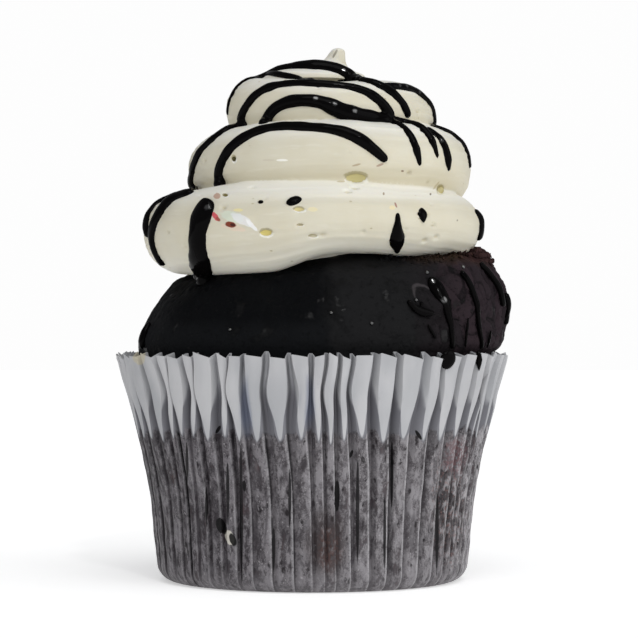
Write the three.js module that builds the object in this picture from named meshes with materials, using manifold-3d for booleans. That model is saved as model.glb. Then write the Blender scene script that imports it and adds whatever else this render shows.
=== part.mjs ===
// A chocolate cupcake in a fluted paper case, with a tall piped swirl of buttercream and
// thick chocolate syrup run over it. Millimetres, +Z up. The origin is the centre of the
// underside of the case, and -Y is the front.
//
// Three solids nest without touching: the fluted case, the cake that fills it and domes over
// its rim, and the swirl that sits on the dome. Syrup is fused to whatever it lies on.

import * as THREE from 'three';
import { LoftGeometry } from 'three/addons/geometries/LoftGeometry.js';
import { ImprovedNoise } from 'three/addons/math/ImprovedNoise.js';
import { mergeVertices } from 'three/addons/utils/BufferGeometryUtils.js';
import Module from 'manifold-3d';

const wasm = await Module();
wasm.setup();

const TAU = 2 * Math.PI;
const GAP = 0.34; // air left between one solid and the next
const FINEST = 0.08; // detail smaller than this is let go once strands are fused

// ---------------------------------------------------------------- driving sizes

const CASE = {
  height: 37.3,
  baseRadius: 25.1, // over the flutes, just above the bottom fold
  taper: 3.6, // how much wider the straight wall would be at the rim
  flare: 4.1, // and how much leaning out would add to that, were it to go on to flareTo
  flareFrom: 11.2,
  flareTo: 44.8,
  fold: 2.6, // radius of the bottom fold
  paper: 0.35,
  floorRise: 0.05, // from the fold to the middle of the floor
  flutes: 60,
  fluteDepth: 1.7, // at the loose rim,
  depthAtFloor: 0.2, // and as a share of that where the fold presses the flutes flatter,
  depthOnWall: 0.55, // and where the cake does
  crowding: 0.3, // how far flutes stray from even spacing, as a share of their pitch,
  straying: 0.12, // and a quicker straying on top of it
  lean: 0.5, // and how far they lean sideways by the rim
  rimDrop: 0.8, // how far the outer fold of a flute leans below the inner one at the rim
};

// One flute, as shares of its pitch and of its depth: a broad ridge and a pinched valley.
// The inner face of the paper slips towards the middle of the ridge by its own thickness.
const FLUTE = [
  { at: 0.0, depth: 0.0, slip: 1 },
  { at: 0.6, depth: 0.08, slip: -1 },
  { at: 0.74, depth: 1.0, slip: -1 },
  { at: 0.88, depth: 1.0, slip: 1 },
];
const CASE_LEVELS = [0, CASE.fold, 23, CASE.height];

// The dome's outline, from the rim to the middle, on the side that sank and on the side that
// rose over the rim. Every other side is a blend of the two.
const DOME = {
  lowSide: [
    [28.4, 37.0], [28.3, 39.4], [27.1, 41.8], [25.4, 44.4], [23.1, 46.8], [20.4, 49.0], [14.5, 51.0],
    [6, 52.2],
  ],
  highSide: [
    [29.6, 37.1], [31.2, 38.4], [32.2, 42.0], [32.6, 46.0], [31.7, 49.6], [29.0, 52.8], [20, 55.0],
    [8, 54.8],
  ],
  highestTowards: THREE.MathUtils.degToRad(30),
  rows: 12,
};
const CAKE = {
  columns: 60,
  floor: CASE.paper + CASE.floorRise + GAP,
  footRounding: 2.4,
  heldLevels: [3.4, 14, 25, 33], // where the case holds the cake
  lump: { depth: 1.0, size: 8 }, // the dome's broad lumps,
  crag: { depth: 0.7, size: 3 }, // and its coarse crumb
  relief: 38, // height the lumps start at, clear of the rim
};

// The swirl: one rope of buttercream, laid clockwise from the right-hand side and climbing at
// the back. Turns are counted from +X; reach is the distance from the swirl's axis.
const ROPE = [
  { turn: -0.2, reach: 19.6, z: 56.6, halfWidth: 5.2, halfHeight: 4.2 },
  { turn: 0.0, reach: 21.2, z: 57.4, halfWidth: 6.5, halfHeight: 5.7 },
  { turn: 0.23, reach: 21.0, z: 58.0, halfWidth: 6.4, halfHeight: 5.7 },
  { turn: 0.3, reach: 21.0, z: 56.6, halfWidth: 6.5, halfHeight: 7.0 },
  { turn: 0.5, reach: 20.9, z: 56.6, halfWidth: 6.5, halfHeight: 6.6 },
  { turn: 0.75, reach: 20.6, z: 59.8, halfWidth: 6.4, halfHeight: 6.4 },
  { turn: 1.0, reach: 19.9, z: 67.2, halfWidth: 6.0, halfHeight: 6.0 },
  { turn: 1.25, reach: 17.4, z: 67.4, halfWidth: 5.9, halfHeight: 5.9 },
  { turn: 1.5, reach: 14.3, z: 67.0, halfWidth: 5.9, halfHeight: 6.2 },
  { turn: 1.75, reach: 14.6, z: 70.6, halfWidth: 5.6, halfHeight: 5.9 },
  { turn: 2.0, reach: 14.7, z: 75.2, halfWidth: 5.3, halfHeight: 5.4 },
  { turn: 2.25, reach: 11.8, z: 75.4, halfWidth: 5.2, halfHeight: 5.2 },
  { turn: 2.5, reach: 9.0, z: 76.4, halfWidth: 5.1, halfHeight: 5.8 },
  { turn: 2.75, reach: 6.4, z: 78.2, halfWidth: 4.9, halfHeight: 4.9 },
  { turn: 3.0, reach: 3.4, z: 78.6, halfWidth: 4.3, halfHeight: 4.0 },
  { turn: 3.3, reach: 1.4, z: 80.4, halfWidth: 4.0, halfHeight: 3.4 },
];
const SWIRL = {
  sides: 14, // round the rope
  stationsATurn: 26,
  drift: 3.0, // how far towards +X the last coil has wandered
  driftFrom: 2.5,
  driftOver: 0.7,
  discSides: 20,
};
// Discs: the filling under the coils, and the cap on top of them, pulled up into a peak.
const FILLING = [
  { x: 0, z: 48.5, radius: 17.5 },
  { x: 0, z: 58, radius: 18 },
  { x: 2.6, z: 66, radius: 13 },
  { x: 3, z: 75.5, radius: 8.2 },
  { x: 3.4, z: 81.5, radius: 3.2 },
];
const PEAK = [
  { x: 0, z: 81.0, radius: 9.2 },
  { x: 0, z: 82.4, radius: 8.4 },
  { x: 0.3, z: 83.2, radius: 6.6 },
  { x: 1.4, z: 83.9, radius: 4.6 },
  { x: 2.8, z: 84.5, radius: 2.8 },
  { x: 3.7, z: 85.4, radius: 1.8 },
  { x: 4.1, z: 86.5, radius: 1.3 },
  { x: 4.3, z: 87.3, radius: 0.8 },
];

// Syrup. A strand is drawn on an upright sheet through the axis as [x, z], then carried along
// the sight lines of an eye in front (side -1) or behind (side 1) until it meets the cupcake.
// Its widths are spread evenly along it.
const EYE = { distance: 394, height: 37.5 };
const SYRUP = {
  sides: 6,
  pitch: 2.4, // between sections along a strand
  proud: 0.5, // share of its width that a strand stands up,
  proudest: 1.0, // and the most that it stands up
  sink: 0.12, // share of its width that its middle lies under the surface
  endSize: 0.4, // its last section, as a share of its width
};
const SWIRL_STRANDS = [
  {
    side: -1,
    widths: [0.9, 0.9, 1.2, 2.0, 2.0, 1.3],
    path: [
      [-13.9, 76], [-13.5, 78.5], [-12.5, 80.4], [-10.7, 82], [-7.8, 83.2], [-3.7, 84], [0.4, 84.3],
      [3.7, 84], [5.7, 83], [7.8, 81.9],
    ],
  },
  {
    side: -1,
    widths: [1.3, 1.2, 1.3],
    path: [
      [-11.9, 74.8], [-11.1, 77.3], [-9.8, 79.1], [-7.8, 80.8], [-5.3, 81.6], [-1.6, 81.8],
      [2.5, 81.6], [6.2, 81.2], [8.6, 80.6], [10.7, 79.1], [12.3, 77.3], [13.2, 75.6],
    ],
  },
  {
    side: -1,
    widths: [1.2, 1.8, 2.0, 1.9, 1.4],
    path: [
      [-8.2, 74.6], [-7.2, 76.5], [-5.7, 77.9], [-3.7, 78.7], [-1.2, 79], [1.2, 78.7], [3.3, 77.8],
      [4.9, 76.7], [7, 76.2], [9.4, 75.8], [12.7, 75.1],
    ],
  },
  {
    side: -1,
    widths: [1.4, 1.2, 1.1],
    path: [
      [7.8, 81.8], [10.2, 81.2], [12.3, 80.4], [13.9, 79.1], [15.2, 77.5], [15.8, 75.6],
    ],
  },
  {
    side: -1,
    widths: [1.0, 1.1, 0.9, 0.9],
    path: [
      [12.3, 80.9], [14.3, 80.7], [16.4, 80.3], [18, 79.2], [19.5, 77.4], [20.1, 75.2],
      [21.7, 74.1], [23.4, 73.2], [24.4, 71.5], [25.2, 70.3], [25.8, 67.4],
    ],
  },
  {
    side: -1,
    widths: [1.2, 1.2, 1.3],
    path: [
      [-10.7, 74.5], [-13.5, 73.8], [-16, 72.3], [-18.4, 70], [-19.6, 67], [-19.9, 64.2],
    ],
  },
  {
    side: -1,
    widths: [1.3, 1.3, 1.2, 1.4],
    path: [
      [-15.4, 64.5], [-15.5, 66.6], [-14.6, 69.1], [-12.3, 71.7], [-8.6, 73.6], [-4.5, 74.2],
      [0.4, 74], [4.5, 73.5], [7.4, 72.4], [9.6, 70.9], [11.9, 68.7],
    ],
  },
  { side: -1, widths: [0.9, 1.1, 0.9], path: [[12.7, 75.3], [15.2, 73.8], [16.8, 71.1], [17.6, 68.2]] },
  {
    side: -1,
    widths: [1.0, 1.1, 0.9],
    path: [
      [13.1, 75.4], [15.2, 75], [17.6, 74.2], [19.3, 72.4], [20.6, 69.4],
    ],
  },
  { side: -1, widths: [0.9, 1.1, 0.9], path: [[18.4, 74], [20.7, 72.6], [21.8, 70.5], [22.4, 67.4]] },
  {
    side: -1,
    widths: [1.3, 0.9, 1.3],
    path: [
      [-19.3, 63.4], [-23.4, 63.1], [-25.4, 61.7], [-27, 58.8], [-27.1, 56.4],
    ],
  },
  {
    side: -1,
    widths: [1.4, 1.5, 1.6, 1.2, 1.4],
    path: [
      [-19.7, 62.9], [-22.1, 62.2], [-24.2, 60.3], [-25.7, 57.8], [-26.2, 55.5], [-25.7, 53.3],
      [-24.5, 51.5],
    ],
  },
  {
    side: -1,
    widths: [3.4, 3.4, 3.2, 3.3],
    path: [
      [-17.3, 62.2], [-18.3, 59.6], [-18.9, 57.2], [-19.1, 55.1], [-18.6, 53.1], [-18.3, 51],
    ],
  },
  { side: -1, widths: [0.8, 2.2, 1.2], path: [[14, 60], [13.9, 58.4], [13.8, 56.4], [13.9, 54.2]] },
  { side: -1, widths: [0.9, 1.6, 1.1], path: [[26.6, 60.6], [27.5, 58.9], [27.9, 57.2], [27.6, 55.5]] },
  {
    side: 1,
    widths: [1.7],
    path: [
      [-11, 78], [-7, 81.4], [-2, 82.6], [3, 82.2], [8, 80.6], [11.5, 77],
    ],
  },
  {
    side: 1,
    widths: [1.4],
    path: [
      [-9.5, 74], [-6, 77.2], [-1, 78], [4, 76.6], [9, 75.4], [14, 75.6],
    ],
  },
  {
    side: 1,
    widths: [1.4],
    path: [
      [-16, 70.5], [-11, 73.4], [-5, 73.2], [1, 72.8], [7, 71.2], [12, 72], [17, 74.4],
    ],
  },
  {
    side: 1,
    widths: [1.3],
    path: [
      [-19.4, 66.5], [-15, 69.4], [-9, 68], [-3, 67.6], [3, 66.4], [9, 68], [13, 66],
    ],
  },
  {
    side: 1,
    widths: [1.3, 1.2, 2.0],
    path: [
      [14, 69], [17.5, 68.6], [20.4, 65.6], [20.4, 61], [19.8, 58],
    ],
  },
  { side: 1, widths: [1.3, 1.2, 1.9], path: [[-17, 63.4], [-20, 60.6], [-20.6, 57], [-19.8, 54.2]] },
  { side: 1, widths: [1.4, 1.5, 2.4], path: [[-6, 63.6], [-6.8, 60.6], [-6.4, 57.2]] },
  { side: 1, widths: [1.1, 1.1, 2.0], path: [[5, 66.6], [5.8, 63], [5.2, 59.8]] },
];
const SWIRL_DROPS = [
  { side: -1, at: [18.1, 59.3], width: 1.7 },
  { side: -1, at: [-3.2, 62], width: 2.1 },
  { side: 1, at: [11.5, 57], width: 1.7 },
];
const CAKE_STRANDS = [
  { side: -1, widths: [2.8, 2.2], path: [[-18.4, 49.6], [-18.4, 47.6]] },
  {
    side: -1,
    widths: [1.2, 2.2, 1.9],
    path: [
      [19.1, 49.8], [20.5, 48.4], [21.7, 46.5], [22.3, 44.1], [22.6, 40.6],
    ],
  },
  {
    side: -1,
    widths: [1.0, 1.3, 1.2],
    path: [
      [24.6, 50.6], [25.8, 48.2], [26.7, 45.7], [27.1, 42.4], [27.3, 40.4],
    ],
  },
  { side: -1, widths: [1.0, 1.2, 1.0], path: [[28.3, 51], [30.1, 48.6], [30.9, 45.7]] },
  { side: -1, widths: [1.0, 1.8, 1.1], path: [[32.2, 46.6], [32.9, 44.1], [32.4, 41.8]] },
  { side: -1, widths: [1.0, 1.4, 1.2], path: [[-27.3, 42.4], [-28.3, 41], [-28.6, 39.4]] },
  { side: 1, widths: [1.9], path: [[-14, 48.6], [-15.4, 45.4], [-15.6, 41]] },
  { side: 1, widths: [1.8], path: [[9, 50], [10.4, 46.4], [10.6, 42]] },
  { side: 1, widths: [1.5], path: [[21, 51.4], [23.6, 47.8], [24, 43.8]] },
];

const LOOKS = {
  paper: { color: 0xa6a6aa, roughness: 0.8, metalness: 0 },
  sponge: { color: 0x1d1716, roughness: 0.75, metalness: 0 },
  buttercream: { color: 0xe6e2d2, roughness: 0.6, metalness: 0 },
};

// ---------------------------------------------------------------- helpers

const noise = new ImprovedNoise();

function solidFrom(geometry) {
  const plain = new THREE.BufferGeometry();
  plain.setAttribute('position', geometry.attributes.position);
  plain.setIndex(geometry.index);
  const welded = mergeVertices(plain, 1e-5);
  return new wasm.Manifold(new wasm.Mesh({
    numProp: 3,
    vertProperties: new Float32Array(welded.attributes.position.array),
    triVerts: new Uint32Array(welded.index.array),
  }));
}

function loft(rings) {
  return solidFrom(new LoftGeometry(rings, { closed: true, capStart: true, capEnd: true }));
}

function ring(sides, place) {
  return Array.from({ length: sides }, (_, i) => place(i, (i / sides) * TAU));
}

function polar(radius, angle, z, x = 0) {
  return new THREE.Vector3(x + radius * Math.cos(angle), radius * Math.sin(angle), z);
}

function surfaceOf(solid) {
  const mesh = solid.getMesh();
  const geometry = new THREE.BufferGeometry();
  geometry.setAttribute('position', new THREE.Float32BufferAttribute(mesh.vertProperties, 3));
  geometry.setIndex([...mesh.triVerts]);
  return geometry;
}

function largestPiece(solid) {
  return solid.decompose().reduce((best, piece) => (piece.volume() > best.volume() ? piece : best));
}

// Cubic blend of one value through a list of stations, whatever their spacing.
function valueAt(stations, name, turn) {
  const last = stations.length - 1;
  const next = stations.findIndex((station) => station.turn > turn);
  const b = next < 0 ? last : Math.max(next, 1);
  const a = b - 1;
  const slope = (i) => {
    const before = stations[Math.max(i - 1, 0)];
    const after = stations[Math.min(i + 1, last)];
    return (after[name] - before[name]) / (after.turn - before.turn);
  };
  const span = stations[b].turn - stations[a].turn;
  const u = (turn - stations[a].turn) / span;
  const rise = stations[b][name] - stations[a][name];
  const bend = u * (1 - u);
  return stations[a][name] + rise * u * u * (3 - 2 * u)
    + bend * ((1 - u) * slope(a) - u * slope(b)) * span;
}

// ---------------------------------------------------------------- the paper case

function caseRadius(z) {
  const share = z / CASE.height;
  const leaning = THREE.MathUtils.smoothstep(z, CASE.flareFrom, CASE.flareTo);
  const wall = CASE.baseRadius + CASE.taper * share + CASE.flare * leaning;
  const belowFold = Math.max(0, 1 - z / CASE.fold);
  return wall - CASE.fold * (1 - Math.sqrt(1 - belowFold ** 2));
}

// How deep the flutes are at a height, as a share of their depth at the rim.
function fluteShare(z) {
  const { lerp, smoothstep } = THREE.MathUtils;
  const held = lerp(CASE.depthAtFloor, CASE.depthOnWall, smoothstep(z, 0, 1.5 * CASE.fold));
  return lerp(held, 1, smoothstep(z, CASE.flareFrom, CASE.height));
}

// Flutes are pressed by hand: they crowd and spread a little round the case, and lean.
function fluteAngle(turn, z) {
  const crowding = CASE.crowding * Math.sin(TAU * (turn * 7 + 0.1));
  const straying = CASE.straying * Math.sin(TAU * (turn * 13 + 0.6));
  const lean = CASE.lean * (z / CASE.height) * Math.sin(TAU * (turn * 3 + 0.35));
  return TAU * (turn + (crowding + straying + lean) / CASE.flutes);
}

function caseRing(z, inset) {
  const rimShare = z >= CASE.height - 1 ? 1 : 0;
  const pitch = (TAU * caseRadius(z)) / CASE.flutes;
  const points = [];
  for (let flute = 0; flute < CASE.flutes; flute += 1) {
    for (const fold of FLUTE) {
      const at = fold.at + (fold.slip * inset) / pitch;
      const depth = fold.depth * CASE.fluteDepth * fluteShare(z);
      const drop = rimShare * CASE.rimDrop * (1 - fold.depth);
      const height = Math.max(z, inset) - drop;
      points.push(polar(caseRadius(z) - depth - inset, fluteAngle((flute + at) / CASE.flutes, z), height));
    }
  }
  return points;
}

// Up the outside, over the rim, down the inside, and in over a floor that crowns very slightly.
function paperCase() {
  const up = CASE_LEVELS.map((z) => caseRing(z, 0));
  const down = [...CASE_LEVELS].reverse().map((z) => caseRing(z, CASE.paper));
  const edge = down[down.length - 1];
  const floor = edge.map(({ x, y, z }) => new THREE.Vector3(x / 2, y / 2, z + CASE.floorRise));
  return loft([...up, ...down, floor]);
}

// ---------------------------------------------------------------- the cake

function heldRadius(z) {
  return caseRadius(z) - CASE.fluteDepth - CASE.paper - GAP;
}

function roughness({ x, y, z }, { depth, size }) {
  return depth * noise.noise(x / size, y / size, z / size);
}

function cakeBody(grow) {
  const low = new THREE.SplineCurve(DOME.lowSide.map(([r, z]) => new THREE.Vector2(r, z)));
  const high = new THREE.SplineCurve(DOME.highSide.map(([r, z]) => new THREE.Vector2(r, z)));
  const middle = new THREE.Vector3(0, 0, 30);
  const floorRadius = heldRadius(CAKE.heldLevels[0]) - CAKE.footRounding;
  const rings = [ring(CAKE.columns, (i, angle) => polar(floorRadius, angle, CAKE.floor))];
  for (const z of CAKE.heldLevels) {
    rings.push(ring(CAKE.columns, (i, angle) => polar(heldRadius(z), angle, z)));
  }
  for (let row = 0; row < DOME.rows; row += 1) {
    const [a, b] = [low.getPoint(row / (DOME.rows - 1)), high.getPoint(row / (DOME.rows - 1))];
    rings.push(ring(CAKE.columns, (i, angle) => {
      const share = (1 + Math.cos(angle - DOME.highestTowards)) / 2;
      const profile = a.clone().lerp(b, share);
      const point = polar(profile.x, angle, profile.y);
      const outward = point.clone().sub(middle).normalize();
      const clear = THREE.MathUtils.smoothstep(point.z, CAKE.relief, CAKE.relief + 4);
      const relief = (roughness(point, CAKE.lump) + roughness(point, CAKE.crag)) * clear;
      return point.addScaledVector(outward, relief + grow);
    }));
  }
  return loft(rings);
}

// ---------------------------------------------------------------- the swirl

function driftAt(turn) {
  const { drift, driftFrom, driftOver } = SWIRL;
  return drift * THREE.MathUtils.smoothstep(turn, driftFrom, driftFrom + driftOver);
}

function ropeRing(turn) {
  const names = ['reach', 'z', 'halfWidth', 'halfHeight'];
  const [reach, z, wide, tall] = names.map((name) => valueAt(ROPE, name, turn));
  return ring(SWIRL.sides, (i, around) =>
    polar(reach + wide * Math.cos(around), -TAU * turn, z + tall * Math.sin(around), driftAt(turn)));
}

// Half a turn at a time, so that no length of rope ever runs into itself.
function ropeLengths() {
  const [first, last] = [ROPE[0].turn, ROPE[ROPE.length - 1].turn];
  const step = 1 / SWIRL.stationsATurn;
  const count = Math.round((last - first) / step);
  const each = SWIRL.stationsATurn / 2;
  const lengths = [];
  for (let start = 0; start < count; start += each) {
    const end = Math.min(start + each + 1, count);
    const rings = [];
    for (let k = start; k <= end; k += 1) rings.push(ropeRing(first + k * step));
    lengths.push(loft(rings));
  }
  return lengths;
}

function discs(rows) {
  return loft(rows.map((row) => ring(SWIRL.discSides, (i, angle) => polar(row.radius, angle, row.z, row.x))));
}

// ---------------------------------------------------------------- syrup

const sight = new THREE.Raycaster();

// Where a sight line through the sheet first meets the surface. Past the outline, the line
// is drawn in towards the axis until it does.
function meet(target, side, x, z) {
  const eye = new THREE.Vector3(0, side * EYE.distance, EYE.height);
  for (let share = 1; share > 0.5; share -= 0.01) {
    sight.set(eye, new THREE.Vector3(x * share, 0, z).sub(eye).normalize());
    const [hit] = sight.intersectObject(target);
    if (hit) return hit.point;
  }
  return null;
}

function nearestOn(geometry, point) {
  const { position } = geometry.attributes;
  const face = new THREE.Triangle();
  const found = { distance: Infinity, point: new THREE.Vector3(), normal: new THREE.Vector3() };
  const spot = new THREE.Vector3();
  for (let i = 0; i < geometry.index.count; i += 3) {
    const corners = [0, 1, 2].map((k) => geometry.index.getX(i + k));
    face.setFromAttributeAndIndices(position, ...corners);
    face.closestPointToPoint(point, spot);
    const distance = spot.distanceToSquared(point);
    if (distance < found.distance) {
      found.distance = distance;
      found.point.copy(spot);
      face.getNormal(found.normal);
    }
  }
  return found;
}

function laidPath(geometry, strand) {
  const target = new THREE.Mesh(geometry, new THREE.MeshBasicMaterial({ side: THREE.DoubleSide }));
  const drawn = new THREE.CatmullRomCurve3(strand.path.map(([x, z]) => new THREE.Vector3(x, 0, z)));
  const count = Math.max(4, Math.ceil(drawn.getLength() / 1.2));
  const met = drawn.getSpacedPoints(count).map((p) => meet(target, strand.side, p.x, p.z)).filter(Boolean);
  const carried = new THREE.CatmullRomCurve3(met, false, 'chordal');
  const sections = Math.max(3, Math.round(carried.getLength() / SYRUP.pitch));
  const laid = carried.getSpacedPoints(sections).map((p) => nearestOn(geometry, p));
  // Syrup bridges small hollows, so each point eases towards the middle of its neighbours.
  return laid.map((spot, i) => {
    const before = laid[Math.max(i - 1, 0)];
    const after = laid[Math.min(i + 1, laid.length - 1)];
    const normal = before.normal.clone().add(after.normal).addScaledVector(spot.normal, 2).normalize();
    const eased = before.point.clone().add(after.point).addScaledVector(spot.point, -2).divideScalar(4);
    const point = spot.point.clone().addScaledVector(normal, Math.max(0, eased.dot(normal)));
    return { point, normal };
  });
}

function tube(path, sizeAt, grow) {
  const rings = path.map(({ point, normal }, i) => {
    const before = path[Math.max(i - 1, 0)].point;
    const after = path[Math.min(i + 1, path.length - 1)].point;
    const along = after.clone().sub(before).normalize();
    const across = new THREE.Vector3().crossVectors(normal, along).normalize();
    const up = new THREE.Vector3().crossVectors(along, across);
    const width = sizeAt(i / (path.length - 1));
    const rise = Math.min(SYRUP.proud * width, SYRUP.proudest);
    return ring(SYRUP.sides, (k, angle) => point.clone()
      .addScaledVector(up, -SYRUP.sink * width)
      .addScaledVector(across, (width / 2 + grow) * Math.cos(angle))
      .addScaledVector(up, (rise + SYRUP.sink * width + grow) * Math.sin(angle)));
  });
  return loft(rings);
}

function strandSolid(geometry, strand, grow) {
  const { widths } = strand;
  const sizeAt = (share) => {
    const place = share * (widths.length - 1);
    const from = Math.min(Math.floor(place), widths.length - 1);
    const to = Math.min(from + 1, widths.length - 1);
    const end = share === 0 || share === 1 ? SYRUP.endSize : 1;
    return end * THREE.MathUtils.lerp(widths[from], widths[to], place - from);
  };
  return tube(laidPath(geometry, strand), sizeAt, grow);
}

function dropSolid(geometry, drop) {
  const target = new THREE.Mesh(geometry, new THREE.MeshBasicMaterial({ side: THREE.DoubleSide }));
  const spot = meet(target, drop.side, ...drop.at);
  const ball = new THREE.SphereGeometry(drop.width / 2, 8, 6);
  ball.translate(spot.x, spot.y, spot.z);
  return solidFrom(ball);
}

// ---------------------------------------------------------------- assembly

function cakeSolid(grow) {
  const bare = surfaceOf(cakeBody(0));
  const strands = CAKE_STRANDS.map((strand) => strandSolid(bare, strand, grow));
  return wasm.Manifold.union([cakeBody(grow), ...strands]).asOriginal().simplify(FINEST);
}

function frostingSolid(clearance) {
  const bareSwirl = wasm.Manifold.union([...ropeLengths(), discs(FILLING), discs(PEAK)]);
  const bare = surfaceOf(bareSwirl);
  const strands = SWIRL_STRANDS.map((strand) => strandSolid(bare, strand, 0));
  const drops = SWIRL_DROPS.map((drop) => dropSolid(bare, drop));
  const whole = wasm.Manifold.union([bareSwirl, ...strands, ...drops]);
  return whole.subtract(clearance).asOriginal().simplify(FINEST);
}

function node(name, solid, look) {
  const geometry = surfaceOf(solid).toNonIndexed();
  geometry.computeVertexNormals();
  const mesh = new THREE.Mesh(geometry, new THREE.MeshStandardMaterial(look));
  mesh.name = name;
  return mesh;
}

const cupcake = new THREE.Group();
cupcake.name = 'cupcake';
cupcake.add(node('paper_case', paperCase(), LOOKS.paper));
cupcake.add(node('cake', largestPiece(cakeSolid(0)), LOOKS.sponge));
cupcake.add(node('frosting', largestPiece(frostingSolid(cakeSolid(GAP))), LOOKS.buttercream));

export default cupcake;
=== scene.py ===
# %% [markdown]
# # A chocolate cupcake, finished in Blender
#
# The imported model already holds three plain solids: the fluted paper case, the cake and the
# piped swirl. This lesson replaces each with a finely modelled piece of the same form, runs
# glossy syrup over them, and builds a procedural finish for every surface. Blender works in
# metres, so sizes are named in millimetres and multiplied by `MM` where a mesh is made.

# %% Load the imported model
import math
import random

import bpy
import numpy as np
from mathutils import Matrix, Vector
from mathutils import noise
from mathutils.bvhtree import BVHTree


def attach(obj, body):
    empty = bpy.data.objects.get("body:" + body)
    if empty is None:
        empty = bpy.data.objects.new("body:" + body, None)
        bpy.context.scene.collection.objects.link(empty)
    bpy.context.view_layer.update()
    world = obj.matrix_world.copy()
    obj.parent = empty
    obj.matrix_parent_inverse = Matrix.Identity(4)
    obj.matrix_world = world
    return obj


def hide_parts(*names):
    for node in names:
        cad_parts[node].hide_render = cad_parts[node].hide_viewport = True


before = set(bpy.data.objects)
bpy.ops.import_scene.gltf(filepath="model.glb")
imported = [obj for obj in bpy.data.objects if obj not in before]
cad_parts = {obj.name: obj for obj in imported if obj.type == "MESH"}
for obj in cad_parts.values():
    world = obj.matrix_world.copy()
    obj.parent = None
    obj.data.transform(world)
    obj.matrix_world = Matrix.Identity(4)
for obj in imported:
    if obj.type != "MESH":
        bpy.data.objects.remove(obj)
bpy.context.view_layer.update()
MM = 0.001
TAU = 2 * math.pi
print("nodes:", sorted(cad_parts))

# %% [markdown]
# ## The studio
#
# The cupcake is seen from the front by a long lens, a little below its middle, against a
# white sweep. A long lens is set by distance and focal length together: from 394 mm away,
# 135 mm on a 36 mm sensor just takes in the whole cake. The lens tips up by less than a
# degree. Four soft suns light it: a wide window high in front, a wider one from the right,
# a weak card low in front that lifts the undersides, and a small lamp that only adds glints
# to the syrup. The sky shows pure white to the lens but lights the cake more weakly, and
# the floor glows a little of its own, as a white table lit from below does.

# %% Camera
EYE_ACROSS, EYE_AWAY, EYE_UP = 1.07, 394.0, 37.5
eye_data = bpy.data.cameras.new("eye")
eye_data.sensor_width = 36
eye_data.lens = 135.4
eye_data.clip_start = 0.01
eye_data.clip_end = 20
eye = bpy.data.objects.new("eye", eye_data)
eye.location = (EYE_ACROSS * MM, -EYE_AWAY * MM, EYE_UP * MM)
eye.rotation_euler = (math.radians(90.74), 0, 0)
bpy.context.scene.collection.objects.link(eye)
bpy.context.scene.camera = eye
print("camera at", [round(v, 4) for v in eye.location])


# %% Sun, sky and floor
def add_sun(name, towards, strength, softness):
    data = bpy.data.lights.new(name, "SUN")
    data.energy = strength
    data.angle = math.radians(softness)
    sun = bpy.data.objects.new(name, data)
    sun.rotation_euler = Vector(towards).to_track_quat("-Z", "Y").to_euler()
    bpy.context.scene.collection.objects.link(sun)
    return sun


add_sun("window", (-0.1, 0.75, -1.0), 0.95, 40)
add_sun("side", (-1.0, 0.45, -0.3), 0.85, 50)
add_sun("card", (-0.2, 1.0, 0.35), 0.3, 60)
add_sun("lamp", (-0.25, 1.0, -0.75), 0.3, 4)

world = bpy.data.worlds.new("studio")
bpy.context.scene.world = world
world.use_nodes = True
sky = world.node_tree.nodes["Background"]
path = world.node_tree.nodes.new("ShaderNodeLightPath")
shown = world.node_tree.nodes.new("ShaderNodeMix")
shown.data_type = "RGBA"
SKY_LIGHT = (0.3, 0.304, 0.31, 1)
SKY_SEEN = (0.985, 0.985, 0.985, 1)
shown.inputs[6].default_value = SKY_LIGHT
shown.inputs[7].default_value = SKY_SEEN
world.node_tree.links.new(path.outputs["Is Camera Ray"], shown.inputs["Factor"])
world.node_tree.links.new(shown.outputs[2], sky.inputs["Color"])
bpy.context.scene.view_settings.view_transform = "Standard"
bpy.context.scene.view_settings.look = "None"

bpy.ops.object.select_all(action="DESELECT")
bpy.ops.mesh.primitive_plane_add(size=8, location=(0, 0, 0))
floor = bpy.context.active_object
floor.name = "floor"
print("studio ready")

# %% [markdown]
# ## Writing finishes as sums
#
# A finish is a graph of nodes. Wiring dozens of Math nodes one by one hides the idea, so a
# `Wire` stands for one output socket and overloads the arithmetic operators: `1 - mask * 0.5`
# adds the nodes it needs. `Finish.node` makes any other node: its settings are set first,
# then its sockets, which take a number, a colour or another wire. Colours are mixed by
# `Finish.mix`, because a Math node would turn them grey.


# %% Wires and finishes
class Wire:
    def __init__(self, finish, socket):
        self.finish = finish
        self.socket = socket

    def sum(self, operation, first, second):
        return self.finish.node("ShaderNodeMath", {"operation": operation}, {0: first, 1: second})

    def __add__(self, other):
        return self.sum("ADD", self, other)

    def __radd__(self, other):
        return self.sum("ADD", other, self)

    def __sub__(self, other):
        return self.sum("SUBTRACT", self, other)

    def __rsub__(self, other):
        return self.sum("SUBTRACT", other, self)

    def __mul__(self, other):
        return self.sum("MULTIPLY", self, other)

    def __rmul__(self, other):
        return self.sum("MULTIPLY", other, self)

    def __truediv__(self, other):
        return self.sum("DIVIDE", self, other)

    def __rtruediv__(self, other):
        return self.sum("DIVIDE", other, self)

    def __pow__(self, other):
        return self.sum("POWER", self, other)


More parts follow.
